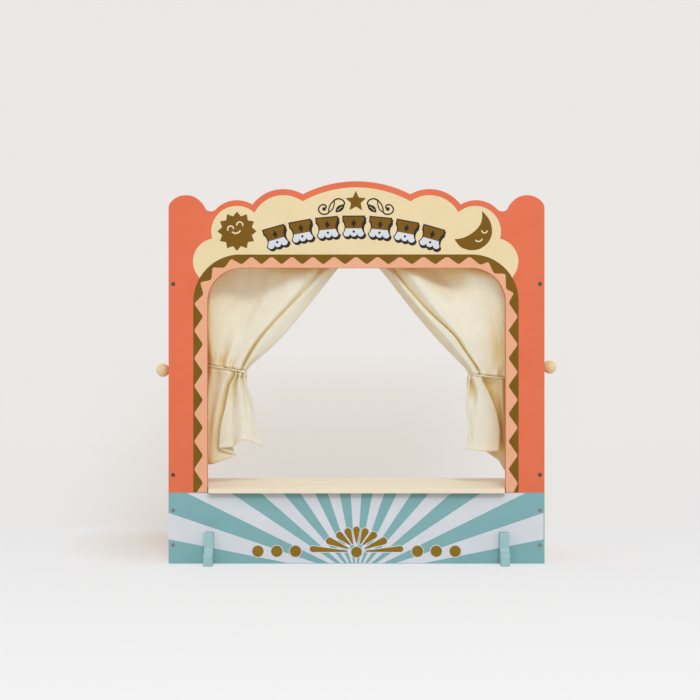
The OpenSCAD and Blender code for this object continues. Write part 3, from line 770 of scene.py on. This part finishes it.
# Each row is one level of the cloth, from the dowel to the hem: its height, then one entry for each
# line of the folds, from the outer edge to the leading edge. An entry is the line's distance from the
# middle of the stage and its distance in front of the dowel, then how sharply it is creased and its
# own height, where these differ from none and from the level's.
left_folds = [
    (440, [(228, 6), (212, 7), (195, 6.3), (177, 7), (157, 6.3), (136, 7), (112, 6.5), (60, 7), (36, 6),
        (23, 7), (9.5, 6.2), (16, 5.4)]),
    (412, [(227, 12), (212, 19), (197, 9), (180, 0), (162, -5), (142, 0), (118, 10), (71, 25),
        (56, 18.5, 0.4), (47, 21), (31.5, 9), (56, -5)]),
    (385, [(226.5, 14), (212, 22), (197, 11), (181, 1), (165, -6), (147, -2), (125, 9), (86, 22),
        (77.2, 16, 0.7), (71, 19), (52.8, 8), (79, -7)]),
    (355, [(226, 12), (212, 20), (196, 13), (182, 6), (169, 1), (157, 3), (142, 10), (113.5, 18),
        (106.3, 12.5, 1), (101, 15.5), (77, 6), (104, -9)]),
    (322, [(223, 6), (211, 17), (199, 13), (186, 9.5), (174, 11.5), (165, 10.5), (155, 13), (142, 16),
        (136.2, 9.5, 1), (131, 13.5), (105, 4), (132, -11)]),
    (300, [(221, 0), (208, 14), (200, 13), (189.5, 9.5), (180, 12.5), (172, 11.5), (165, 12.5),
        (156.5, 15), (151.6, 6.5, 1), (147, 12), (127.5, 2), (154, -13)]),
    (273.3, [(219.5, -8, 0, 284), (207, 11, 0, 281.5), (201, 12, 0, 280), (194.5, 7.5, 0, 279),
        (186, 12, 0, 277.6), (180.5, 9, 0, 276.7), (174.5, 12, 0, 275.8), (168.7, 13, 0, 275),
        (165, 3, 1, 274.3), (162.3, 8.5, 0, 273.7), (158.8, -1, 0.8), (176, -13)]),
    (266, [(219.5, -8, 0, 276.5), (208, 10, 0, 273.6), (201, 8, 0, 272.5), (186, 12, 0, 270.2),
        (175.3, 4.5, 1, 268.8), (172.8, 9, 0, 268.5), (170.6, 4.5, 1, 268.2), (168.5, 11, 0, 267.8),
        (166.2, 3.5, 0.9, 267.2), (163, 7.5, 0, 266.6), (159.5, -2, 0.8), (177, -13)]),
    (250, [(221, -4), (212, 7), (205, 6.5), (193, 9), (184, 2.5, 1), (181.5, 9.5, 0.3), (176, 5, 1),
        (169, 11), (162, 5.5, 0.5), (159.3, 6.5), (157, 6, 0.8), (181, -13)]),
    (218, [(224, -2), (217, 6), (209, 4), (201, 7), (191, 2, 0.8), (189.2, 8.5, 0.8), (178.8, 5.5, 0.8),
        (166, 11), (154, 6), (150.5, 7), (147.2, 6.8, 0.8), (172, -13)]),
    (190, [(226, -1), (221, 5), (213, 3), (206, 5.5), (192, 1, 0.5), (196.4, 8, 0.8), (179.3, 6, 0.6),
        (164, 11.5, 0, 193), (152, 8, 0, 193), (148, 8.5, 0, 193), (144.5, 8, 0.8, 193),
        (169, -13, 0, 193)]),
    (148, [(227, -1), (224, 4), (216, 2), (208, 3), (178, -2, 0.5, 157), (198.8, 8.5, 0.8, 170),
        (178.3, 6, 0.8, 172), (164, 12, 0, 181), (151, 8, 0, 179), (145, 9, 0, 177),
        (139.5, 8.5, 0.8, 174), (164, -13, 0, 180)]),
    (136, [(228, -7), (225, -1), (217, -1, 0, 135), (208, 1), (174.5, -3, 0.5, 147.5),
        (199.3, 9, 0.8, 159), (177.8, 5.5, 0.8, 161.3), (165, 12, 0, 172), (153, 8, 0, 169.5),
        (145, 9, 0, 165), (134.8, 8.5, 0.8, 163.5), (159, -13, 0, 173)]),
]
right_folds = [
    (440, [(228, 6), (208, 7), (187, 6.3), (163, 7), (125, 6.3), (70, 7), (38, 6), (28, 7), (21, 6.5),
        (17.5, 6.3), (13.5, 6), (20, 5.4)]),
    (412, [(227.5, 24), (212, 29), (190, 27), (164, 24), (124, 4), (78, 30), (56.5, 17, 0.4),
        (53.5, 20), (50, 20), (45, 15), (38.9, 6), (64, -9)]),
    (385, [(227, 22), (214, 29), (200, 25), (178, 19), (144, 12), (97, 29), (78, 16.5, 0.7), (75.2, 20),
        (71.5, 20), (66.5, 14), (60.2, 5), (86, -10)]),
    (355, [(226.5, 20), (216, 27), (206, 23), (192, 17), (168, 17), (119, 27), (105.5, 16.5, 0.9),
        (102.5, 20), (97.5, 20), (90.5, 13.5), (83.8, 4), (110, -11)]),
    (322, [(225, 14), (218, 24), (212, 22), (203, 15), (188, 18), (147, 23), (140.3, 15.5, 1),
        (137.3, 20), (129, 19.5), (119.5, 12.5), (112, 3), (138, -11)]),
    (300, [(224, 8), (217, 21), (212, 19), (207, 13), (195, 16), (161, 19), (156, 13, 1), (153, 18),
        (147, 18), (139, 11), (132.6, 3), (159, -11)]),
    (269.2, [(222, -2, 0, 262.5), (215, 14, 0, 263.3), (209, 11, 0, 264), (201, 13, 0, 264.8),
        (191.5, 12, 0, 265.8), (182, 15, 0, 266.8), (178, 8.5, 1, 267.3), (174, 13, 0, 268),
        (169, 12, 0, 268.6), (165, 6, 0, 268.9), (162.6, -2, 0.8), (180, -13)]),
    (263.1, [(222, -2, 0, 256.5), (216, 8, 0, 257.2), (210, 12, 0, 258), (203, 8, 0, 258.9),
        (190, 3, 0, 260.2), (178.8, 12.5, 0.6, 261.4), (173, 13, 0, 262), (168.5, 12.5, 0.4, 262.5),
        (165.6, 4, 0.8, 262.7), (163.4, 7, 0, 262.9), (161.6, -1, 0.8), (179, -13)]),
    (241, [(223, 2), (216, 7), (210.5, 9), (203, 5), (188, 0, 0.5), (189.9, 12, 0.7), (182, 13),
        (174.6, 12, 0.5), (167.5, 2.5, 0.2), (161, 6), (158.4, 5.5, 0.8), (181, -13)]),
    (216, [(224, 2), (218, 5), (211, 8), (206, 3), (189, 0, 0.5), (200.2, 13, 0.7), (188, 14.5),
        (175.2, 13.5), (167, 10), (161.5, 9), (158.3, 8.8, 0.8), (181, -12)]),
    (188, [(226, 0), (220, 3), (213, 7), (208.5, 2), (189, -2, 0.5), (206.2, 14.5, 0.7), (192, 16.5),
        (176, 15.5), (168, 13), (164.8, 11), (161.8, 10.8, 0.8), (185, -12)]),
    (169.8, [(227, -1, 0, 145), (222, 1, 0, 146), (215.5, 5, 0, 148), (210, 0, 0, 152),
        (188, -4, 0.5, 164), (206, 16, 0.7, 168), (191, 17.5, 0, 168.6), (175, 16.5, 0, 169.3),
        (168, 15, 0, 169.6), (163, 13, 0, 169.7), (158.9, 12.7, 0.8), (182, -12)]),
    (158.4, [(228, -3, 0, 121), (224, 0, 0, 122), (216, 3, 0, 125), (207, -2, 0, 141),
        (187, -8, 0.6, 154.8), (204.4, 17, 0.7, 156.2), (190, 18.5, 0, 155.4), (176, 17.5, 0, 156),
        (168, 16, 0, 157.2), (162, 14, 0, 158), (157.4, 13.7, 0.8), (180, -12)]),
]
# the cord lies between this level and the next, and the leading edge is turned back at this line
tie_level = 6
lead_line = 10
cols_per_fold = 24
hang_rows = 150
pocket_rows = 16
# the pocket starts behind and under the dowel and goes over its top, in degrees
pocket_start = -125
pocket_turn = 305


def spelled_out(rows):
    """The fold lines level by level, each as distance across, distance forward, height and crease."""
    return [[(p[0], p[1], p[3] if len(p) > 3 else height, p[2] if len(p) > 2 else 0) for p in row]
            for height, row in rows]


def smooth(t):
    """A soft step from 0 to 1."""
    t = min(1, max(0, t))
    return t * t * (3 - 2 * t)


def fold_slopes(points):
    """How steeply the cloth comes into and leaves each fold line: flat on a ridge or in a hollow, steep
    at a crease and even between."""
    least_run = 1.5
    crease_gain = 1.6
    runs = [max(abs(b[0] - a[0]), least_run) for a, b in zip(points, points[1:])]
    rises = [(b[1] - a[1]) / run for a, b, run in zip(points, points[1:], runs)]
    pairs = [(rises[0], rises[0])]
    for before, after, point in zip(rises, rises[1:], points[1:]):
        even_slope = 0 if before * after <= 0 else 2 * before * after / (before + after)
        keen = min(1, max(0, point[3]))
        pairs.append(tuple(even_slope * (1 - keen) + crease_gain * rise * keen for rise in (before, after)))
    pairs.append((rises[-1], rises[-1]))
    return runs, pairs


def row_across(points):
    """One fine row of the cloth through its fold lines."""
    runs, slopes = fold_slopes(points)
    last = (len(points) - 1) * cols_per_fold
    row = []
    for c in range(last + 1):
        k = min(len(points) - 2, c // cols_per_fold)
        t = c / cols_per_fold - k
        a, b = points[k], points[k + 1]
        forward = (a[1] * (1 + 2 * t) * (1 - t) ** 2 + b[1] * t * t * (3 - 2 * t)
                   + runs[k] * (slopes[k][1] * t * (1 - t) ** 2 + slopes[k + 1][0] * t * t * (t - 1)))
        row.append(Vector((a[0] + (b[0] - a[0]) * t, forward, a[2] + (b[2] - a[2]) * t)))
    for _ in range(3):
        eased = [row[c - 1] * 0.25 + row[c] * 0.5 + row[c + 1] * 0.25 for c in range(1, last)]
        row = [row[0]] + eased + [row[-1]]
    return row


def pocket_over_dowel(top_row):
    """The pocket, from behind and under the dowel over its top to its front."""
    # the edge that is turned back lies inside the pocket
    tuck = 0.9
    tuck_run = 0.3
    past_lead = [c / cols_per_fold - lead_line for c in range(len(top_row))]
    radii = [POCKET_R - tuck * smooth(past / tuck_run) for past in past_lead]
    rows = []
    for r in range(pocket_rows):
        turn = math.radians(pocket_start + pocket_turn * r / pocket_rows)
        rows.append([Vector((p.x, -radius * math.cos(turn), ROD_Z + radius * math.sin(turn)))
                     for p, radius in zip(top_row, radii)])
    return rows


def unevenness(p, seed, from_pocket, from_waist):
    """Puckers at the cord, soft rumples and the small unevenness of washed cloth, in mm."""
    pucker_reach = 22
    rumple_from = 40

    def swell(wide, high, depth, own_seed):
        """Soft waves of a size and depth."""
        return noise.noise((p.x / wide, p.z / high, seed + own_seed)) * depth

    pucker = swell(5, 30, 1.2, 3) * math.exp(-abs(from_waist) / pucker_reach)
    rumple = swell(26, 38, 1.2, 7) * smooth(from_pocket / rumple_from)
    # the pocket itself is held by its seam
    return (pucker + rumple + swell(9, 15, 0.25, 11)) * smooth(from_pocket / 12 + 0.2)


def nip_at_cord(from_waist):
    """How far the cord pulls the cloth in, and makes it bulge above and below itself."""
    depth = 1.1
    half_cord = 1.8
    bulge_at = 5
    bulge_w = 2.6
    pulled_in = depth * math.exp(-(from_waist / half_cord) ** 2)
    return pulled_in - depth * math.exp(-((abs(from_waist) - bulge_at) / bulge_w) ** 2)


def settled(grid, downs, pocket_l, waist, seed):
    """Gathers the cloth at the pocket, nips it at the cord and rumples it all over."""
    gathers = 23
    gather_depth = 0.7
    gather_middle = 2
    gather_reach = 26
    wander = 2.2
    wander_waves = 9
    last = len(grid) - 1
    cols = len(grid[0]) - 1
    moved = []
    for r, row in enumerate(grid):
        above, below = grid[max(r - 1, 0)], grid[min(r + 1, last)]
        from_pocket = downs[r] - pocket_l
        from_waist = downs[r] - waist
        gather_here = gather_depth * smooth(1 - abs(from_pocket - gather_middle) / gather_reach)
        out = []
        for c, p in enumerate(row):
            normal = (row[min(c + 1, cols)] - row[max(c - 1, 0)]).cross(below[c] - above[c])
            if normal.length > 1e-9:
                normal.normalize()
            u = c / cols
            shift = wander * noise.noise((u * wander_waves, seed, 0))
            gather = math.sin(u * 2 * math.pi * gathers + shift) * gather_here
            # layers that lie on each other move forward together, so that they never cross
            forward = unevenness(p, seed, from_pocket, from_waist)
            out.append(p + normal * (gather + nip_at_cord(from_waist)) + Vector((0, forward, 0)))
        moved.append(out)
    return moved


def hang_curtain(folds, seed):
    """One curtain as a fine grid: the pocket round the dowel, then the folds down to the hem."""
    lines = len(folds[0])
    middle = [sum((Vector(p[:3]) for p in row), Vector()) / lines for row in folds]
    knots = [0]
    for above, below in zip(middle, middle[1:]):
        knots.append(knots[-1] + (below - above).length)
    hang_l = knots[-1]
    fold_lines = [[row[k] for row in folds] for k in range(lines)]
    hung = []
    for r in range(hang_rows + 1):
        down = hang_l * r / hang_rows
        hung.append(row_across([[through(knots, [p[axis] for p in line], down) for axis in range(4)]
                                for line in fold_lines]))
    grid = pocket_over_dowel(hung[0]) + hung
    pocket_l = math.radians(pocket_turn) * POCKET_R
    downs = [pocket_l * r / pocket_rows for r in range(pocket_rows)]
    downs += [pocket_l + hang_l * r / hang_rows for r in range(hang_rows + 1)]
    waist = pocket_l + (knots[tie_level] + knots[tie_level + 1]) / 2
    return settled(grid, downs, pocket_l, waist, seed), downs, waist


def sewn(name, side, grid, downs):
    """One curtain as a piece: its cloth with the threads' run as a map in mm, its thickness and hems."""
    cols = len(grid[0]) - 1
    stride = cols + 1
    cloth_w = 235
    points, spots, faces = [], [], []
    for row, down in zip(grid, downs):
        for c, p in enumerate(row):
            points.append((side * p.x * MM, (ROD_Y - p.y) * MM, p.z * MM))
            spots.append((c / cols * cloth_w, down))
    for r in range(len(grid) - 1):
        for c in range(cols):
            a = r * stride + c
            ring = (a, a + 1, a + stride + 1, a + stride)
            faces.append(ring if side < 0 else ring[::-1])
    mesh = bpy.data.meshes.new(name)
    mesh.from_pydata(points, [], faces)
    threads = mesh.uv_layers.new(name="cloth_mm")
    for loop in mesh.loops:
        threads.data[loop.index].uv = spots[loop.vertex_index]
    for polygon in mesh.polygons:
        polygon.use_smooth = True
    piece = new_piece(name, mesh, calico)

    # the hems are turned over twice, so they stand out thicker than the rest
    hem_w = 7
    hem_cols = 5
    plain_share = 0.45
    thick = piece.vertex_groups.new(name="hem")
    for r, down in enumerate(downs):
        for c in range(stride):
            hem = down > downs[-1] - hem_w or c > cols - hem_cols or c < hem_cols
            thick.add([r * stride + c], 1.0 if hem else plain_share, "REPLACE")
    body = piece.modifiers.new("cloth", "SOLIDIFY")
    body.thickness = 2 * CLOTH * MM
    body.offset = 0
    body.vertex_group = "hem"
    return piece


curtains = {}
for label, side, rows, seed in (("left", -1, left_folds, 2.5), ("right", 1, right_folds, 8.1)):
    folds = spelled_out(rows)
    grid, downs, waist = hang_curtain(folds, seed)
    piece = sewn(f"{label}_calico_curtain", side, grid, downs)
    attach(piece, f"{label}_draw")
    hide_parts(f"{label}_curtain")
    cord_half = 1.6
    under_cord = [row for row, down in zip(grid, downs) if abs(down - waist) < cord_half]
    curtains[label] = (side, folds, under_cord)


# Tie cords
# A cord of twisted cotton round each curtain's waist, knotted at the outer side. From the knot its
# end runs into the knob's stem, where it is glued. The left-hand one also has a small knot with two
# short tails on its front.
def cotton_cord():
    """Cotton yarn laid in three strands: matt and a little fluffy, paler than the calico."""
    material, tree, shader = new_finish("twisted_cotton")
    place = add(tree, "TexCoord").outputs["Object"]
    fluff_mm = 0.5
    fluff = add(tree, "TexNoise", {"Vector": place, "Scale": 1 / (fluff_mm * MM), "Detail": 5})
    tone = add(tree, "Mix", {"Factor": fluff, "A": linear("#E9DFC4"), "B": linear("#F8F2E2")},
               data_type="RGBA")
    bump = add(tree, "Bump", {"Height": fluff, "Strength": 0.4, "Distance": 0.15 * MM})
    fill(shader, {"Base Color": tone, "Normal": bump, "Roughness": 0.8, "Sheen Weight": 0.2})
    return material


twisted_cotton = cotton_cord()
CORD_D = 2.2
STRANDS = 3
LAY_MM = 5.5
ROUTE_STEP = 0.5


def even(points, step):
    """The same route with points at even steps."""
    out = [points[0].copy()]
    left = step
    for a, b in zip(points, points[1:]):
        run = (b - a).length
        while run >= left:
            a = a.lerp(b, left / run)
            run = (b - a).length
            out.append(a.copy())
            left = step
        left -= run
    return out


def twist_cord(route, closed=False):
    """Three strands laid round each other along a route, as points and faces of a mesh."""
    count = len(route)
    strand_r = CORD_D * 0.24
    lay_r = CORD_D / 2 - strand_r
    sides = 7
    points, faces = [], []
    way = [(route[(i + 1) % count] - route[i - 1]) if closed
           else (route[min(i + 1, count - 1)] - route[max(i - 1, 0)]) for i in range(count)]
    way = [w.normalized() for w in way]
    normal = way[0].orthogonal().normalized()
    normals = []
    for w in way:
        normal = (normal - w * normal.dot(w)).normalized()
        normals.append(normal.copy())
    turns = count * (route[1] - route[0]).length / LAY_MM
    twist = 2 * math.pi * (round(turns) if closed else turns) / count
    slack = 0
    if closed:
        last = (normals[-1] - way[0] * normals[-1].dot(way[0])).normalized()
        slack = math.atan2(way[0].dot(last.cross(normals[0])), last.dot(normals[0]))
    for s in range(STRANDS):
        base = len(points)
        for i in range(count):
            a = normals[i]
            b = way[i].cross(a)
            turn = twist * i + slack * i / count + 2 * math.pi * s / STRANDS
            centre = route[i] + (a * math.cos(turn) + b * math.sin(turn)) * lay_r
            for k in range(sides):
                spin = 2 * math.pi * k / sides
                points.append(centre + (a * math.cos(spin) + b * math.sin(spin)) * strand_r)
        for i in range(count if closed else count - 1):
            here = base + i * sides
            ahead = base + (i + 1) % count * sides
            for k in range(sides):
                m = (k + 1) % sides
                faces.append((here + k, here + m, ahead + m, ahead + k))
        if not closed:
            faces.append(tuple(base + k for k in reversed(range(sides))))
            faces.append(tuple(base + (count - 1) * sides + k for k in range(sides)))
    return points, faces


def hull_of(spots):
    """The outline of a set of points in the plane, as a stretched band would lie on it."""
    spots = sorted(set(spots))
    ring = []
    for order in (spots, spots[::-1]):
        start = len(ring)
        for p in order:
            while len(ring) - start >= 2:
                a, b = ring[-2], ring[-1]
                if (b[0] - a[0]) * (p[1] - a[1]) - (b[1] - a[1]) * (p[0] - a[0]) > 0:
                    break
                ring.pop()
            ring.append(p)
        ring.pop()
    return ring


def waist_loop(rows, on_waist):
    """The cord's way round the gathered cloth, held off it by half its own thickness."""
    hull = [Vector(p) for p in hull_of([(round(p.x, 3), round(p.y, 3)) for row in rows for p in row])]
    middle = sum(hull, Vector((0, 0))) / len(hull)
    steps = 72
    turns = [2 * math.pi * i / steps for i in range(steps)]
    ways = [Vector((math.cos(turn), math.sin(turn))) for turn in turns]
    reaches = [max((p - middle).dot(way) for p in hull) + CORD_D / 2 + CLOTH / 2 for way in ways]
    loop = []
    for i, way in enumerate(ways):
        across = Vector((-way.y, way.x))
        bend = (reaches[(i + 1) % steps] - reaches[i - 1]) / (2 * 2 * math.pi / steps)
        spot = middle + way * reaches[i] + across * bend
        loop.append(on_waist(spot.x, spot.y))
    return even(loop + [loop[0]], ROUTE_STEP)[:-1]


def lead_to_stem(knot, mouth):
    """The cord's way from its knot into the end of the stem, where its last bit is glued."""
    glued_l = 5
    ease = Vector((0.6 * (mouth.x - knot.x), 0, 0))
    lead = []
    for i in range(41):
        t = i / 40
        lead.append(knot * (1 - t) ** 3 + (knot + ease) * 3 * t * (1 - t) ** 2
                    + (mouth - ease) * 3 * t * t * (1 - t) + mouth * t ** 3)
    return even(lead + [mouth + Vector((glued_l, 0, 0))], ROUTE_STEP)


def overhand_knot(middle, size):
    """The way of a cord that goes three times round itself, a little squeezed."""
    tight_step = 0.4
    route = []
    for i in range(61):
        turn = 2 * math.pi * i / 60
        route.append(middle + size * Vector((
            0.55 * (math.sin(turn) + 1.6 * math.sin(2 * turn)),
            0.75 * (math.cos(turn) - 1.6 * math.cos(2 * turn)),
            -0.7 * math.sin(3 * turn))))
    return even(route, tight_step)[:-1]


for label, (side, folds, under_cord) in curtains.items():
    outer_end, inner_end = [
        Vector(folds[tie_level][line][:3]).lerp(Vector(folds[tie_level + 1][line][:3]), 0.5)
        for line in (1, lead_line)]
    slope = (outer_end.z - inner_end.z) / (outer_end.x - inner_end.x)

    def on_waist(x, forward):
        """A point of the slanting plane that the cord lies in."""
        return Vector((x, forward, inner_end.z + slope * (x - inner_end.x)))

    loop = waist_loop(under_cord, on_waist)
    knot_off = 1.2
    knot = max(loop, key=lambda p: p.x) + Vector((knot_off, 0, 0))
    stem_low, stem_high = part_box(f"{label}_knob_stem")
    mouth = Vector((min(abs(stem_low.x), abs(stem_high.x)) / MM, 0, (stem_low.z + stem_high.z) / 2 / MM))
    knot_r = 1.7
    parts = [twist_cord(loop, closed=True), twist_cord(lead_to_stem(knot, mouth)),
             twist_cord(overhand_knot(knot, knot_r), closed=True)]
    if label == "left":
        # the small knot sits on the front of the loop, a little outwards of the leading edge
        knot_in = 5
        front = min(loop, key=lambda p: abs(p.x - inner_end.x - knot_in) - p.y)
        lift = (0, knot_off, 0)
        tails = [(lift, (-2.5, 2.4, -1.2), (-4.5, 2.2, -4.6)), (lift, (2.2, 2.8, -2.2), (2.4, 2.4, -6.8))]
        for tail in tails:
            corners = [front + Vector(step) for step in tail]
            parts.append(twist_cord(even([Vector(p) for p in flowing(corners, 16)], ROUTE_STEP)))
        parts.append(twist_cord(overhand_knot(front + Vector(lift), knot_r * 0.8), closed=True))
    points, faces = [], []
    for part_points, part_faces in parts:
        base = len(points)
        points += [(side * p.x * MM, (ROD_Y - p.y) * MM, p.z * MM) for p in part_points]
        faces += [tuple(base + i for i in face) for face in part_faces]
    mesh = bpy.data.meshes.new(f"{label}_twisted_cord")
    mesh.from_pydata(points, [], faces)
    face_outwards(mesh)
    for polygon in mesh.polygons:
        polygon.use_smooth = True
    piece = new_piece(f"{label}_twisted_cord", mesh, twisted_cotton)
    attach(piece, f"{label}_draw")
    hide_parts(f"{label}_tie_cord")


# Studio
# A pale floor that runs out into a pale backdrop, a large soft lamp in front, high up and a little
# to the right, and a camera level with the middle of the stage.
def studio_floor_paint():
    """Matt, near-white paint. The camera sees it with a glow that fades out the seam to the backdrop."""
    material, tree, shader = new_finish("matt_studio_floor")
    fill(shader, {"Base Color": linear("#EFEFEF"), "Roughness": 0.9, "Specular IOR Level": 0.1})
    place = add(tree, "TexCoord").outputs["Object"]
    parts = add(tree, "SeparateXYZ", {"Vector": place}).outputs
    x, y = parts["X"], parts["Y"]
    # up to this far back the camera sees floor, and beyond it what stands for the backdrop
    seam = 0.26
    near_share = add(tree, "MapRange", {"Value": y, "From Min": -0.8, "From Max": 0.25})
    near = add(tree, "Mix", {"Factor": near_share, "A": linear("#FAFBFC"), "B": linear("#EAECED")},
               data_type="RGBA")
    far_share = add(tree, "MapRange", {"Value": y, "From Min": seam, "From Max": 2.0})
    far = add(tree, "Mix", {"Factor": far_share, "A": linear("#EDEBE9"), "B": linear("#EBE8E5")},
              data_type="RGBA")
    # the theatre shades the backdrop behind it: a warm patch that fans out and fades with distance
    patch_w = add(tree, "Math", {0: y, 1: 0.2, 2: 0.36}, operation="MULTIPLY_ADD")
    patch_x = add(tree, "Math", {0: x, 1: 0.1}, operation="ADD")
    patch_share = add(tree, "Math", {0: patch_x, 1: patch_w}, operation="DIVIDE")
    patch_reach = add(tree, "Math", {0: patch_share}, operation="ABSOLUTE")
    patch = add(tree, "MapRange", {"Value": patch_reach, "From Min": 0.25, "From Max": 1.15,
                                   "To Min": 1, "To Max": 0}, interpolation_type="SMOOTHSTEP")
    distance = add(tree, "Math", {0: y, 1: 0.25, 2: 0.75}, operation="MULTIPLY_ADD")
    faded = add(tree, "Math", {0: patch, 1: distance}, operation="DIVIDE")
    far_patched = add(tree, "Mix", {"Factor": faded, "A": far, "B": linear("#DCD3CB")}, data_type="RGBA")
    # the coral boards throw a little warm light into their own shade, on the side away from the lamp
    side_place = add(tree, "Mapping", {"Vector": place, "Location": (1.55, -0.7, 0),
                                       "Scale": (5.5, 4.8, 1)})
    side_reach = add(tree, "VectorMath", {0: side_place}, operation="LENGTH")
    side_share = add(tree, "MapRange", {"Value": side_reach, "From Min": 0.2, "From Max": 1.0,
                                        "To Min": 1, "To Max": 0})
    near_shaded = add(tree, "Mix", {"Factor": side_share, "A": near, "B": linear("#D3C8BB")},
                      data_type="RGBA")
    is_far = add(tree, "Math", {0: y, 1: seam}, operation="GREATER_THAN")
    seen = add(tree, "Mix", {"Factor": is_far, "A": near_shaded, "B": far_patched}, data_type="RGBA")
    glow = add(tree, "Emission", {"Color": seen, "Strength": 1.0})
    # near the theatre the floor keeps more of its own shading, and so its shadow
    glow_share = add(tree, "MapRange", {"Value": y, "From Min": 0.2, "From Max": 2.0,
                                        "To Min": 0.6, "To Max": 1.0})
    camera_sees = add(tree, "LightPath").outputs["Is Camera Ray"]
    glow_seen = add(tree, "Math", {0: camera_sees, 1: glow_share}, operation="MULTIPLY")
    both = add(tree, "MixShader", {0: glow_seen, 1: shader, 2: glow})
    fill(tree.nodes["Material Output"], {"Surface": both})
    return material


floor_half_w = 14
floor_front = -6
floor_back = 40
floor_corners = [(-floor_half_w, floor_front, 0), (floor_half_w, floor_front, 0),
                 (floor_half_w, floor_back, 0), (-floor_half_w, floor_back, 0)]
floor_mesh = bpy.data.meshes.new("studio_floor")
floor_mesh.from_pydata(floor_corners, [], [(0, 1, 2, 3)])
new_piece("studio_floor", floor_mesh, studio_floor_paint())

scene = bpy.context.scene
world = bpy.data.worlds.new("studio")
world.use_nodes = True
scene.world = world
sky = world.node_tree
rays = add(sky, "LightPath").outputs
seen = add(sky, "Math", {0: rays["Is Camera Ray"], 1: rays["Is Glossy Ray"]}, operation="MAXIMUM")
light_level = add(sky, "MapRange", {"Value": seen, "To Min": 0.72, "To Max": 1.0})
light_tone = add(sky, "Mix", {"Factor": seen, "A": linear("#FFFCF8"), "B": linear("#EBE8E5")},
                 data_type="RGBA")
fill(sky.nodes["Background"], {"Color": light_tone, "Strength": light_level})

lamp = bpy.data.lights.new("key_softbox", "AREA")
lamp.size = 1.2
lamp.energy = 84
lamp.color = linear("#F6F9FF")[:3]
lamp_place = Vector((0.5, -3.6, 3.5))
lamp_aim = Vector((0, 0, 0.3))
holder = bpy.data.objects.new("key_softbox", lamp)
holder.location = lamp_place
holder.rotation_euler = (lamp_aim - lamp_place).to_track_quat("-Z", "Y").to_euler()
scene.collection.objects.link(holder)

camera_data = bpy.data.cameras.new("camera")
camera_data.sensor_width = 36
camera_data.lens = 54.73
camera_data.clip_start = 0.05
camera_data.clip_end = 50
camera = bpy.data.objects.new("camera", camera_data)
camera.location = (-0.0092, -1.55, 0.3011)
camera.rotation_euler = (math.radians(90), 0, 0)
scene.collection.objects.link(camera)
scene.camera = camera

scene.view_settings.view_transform = "Standard"
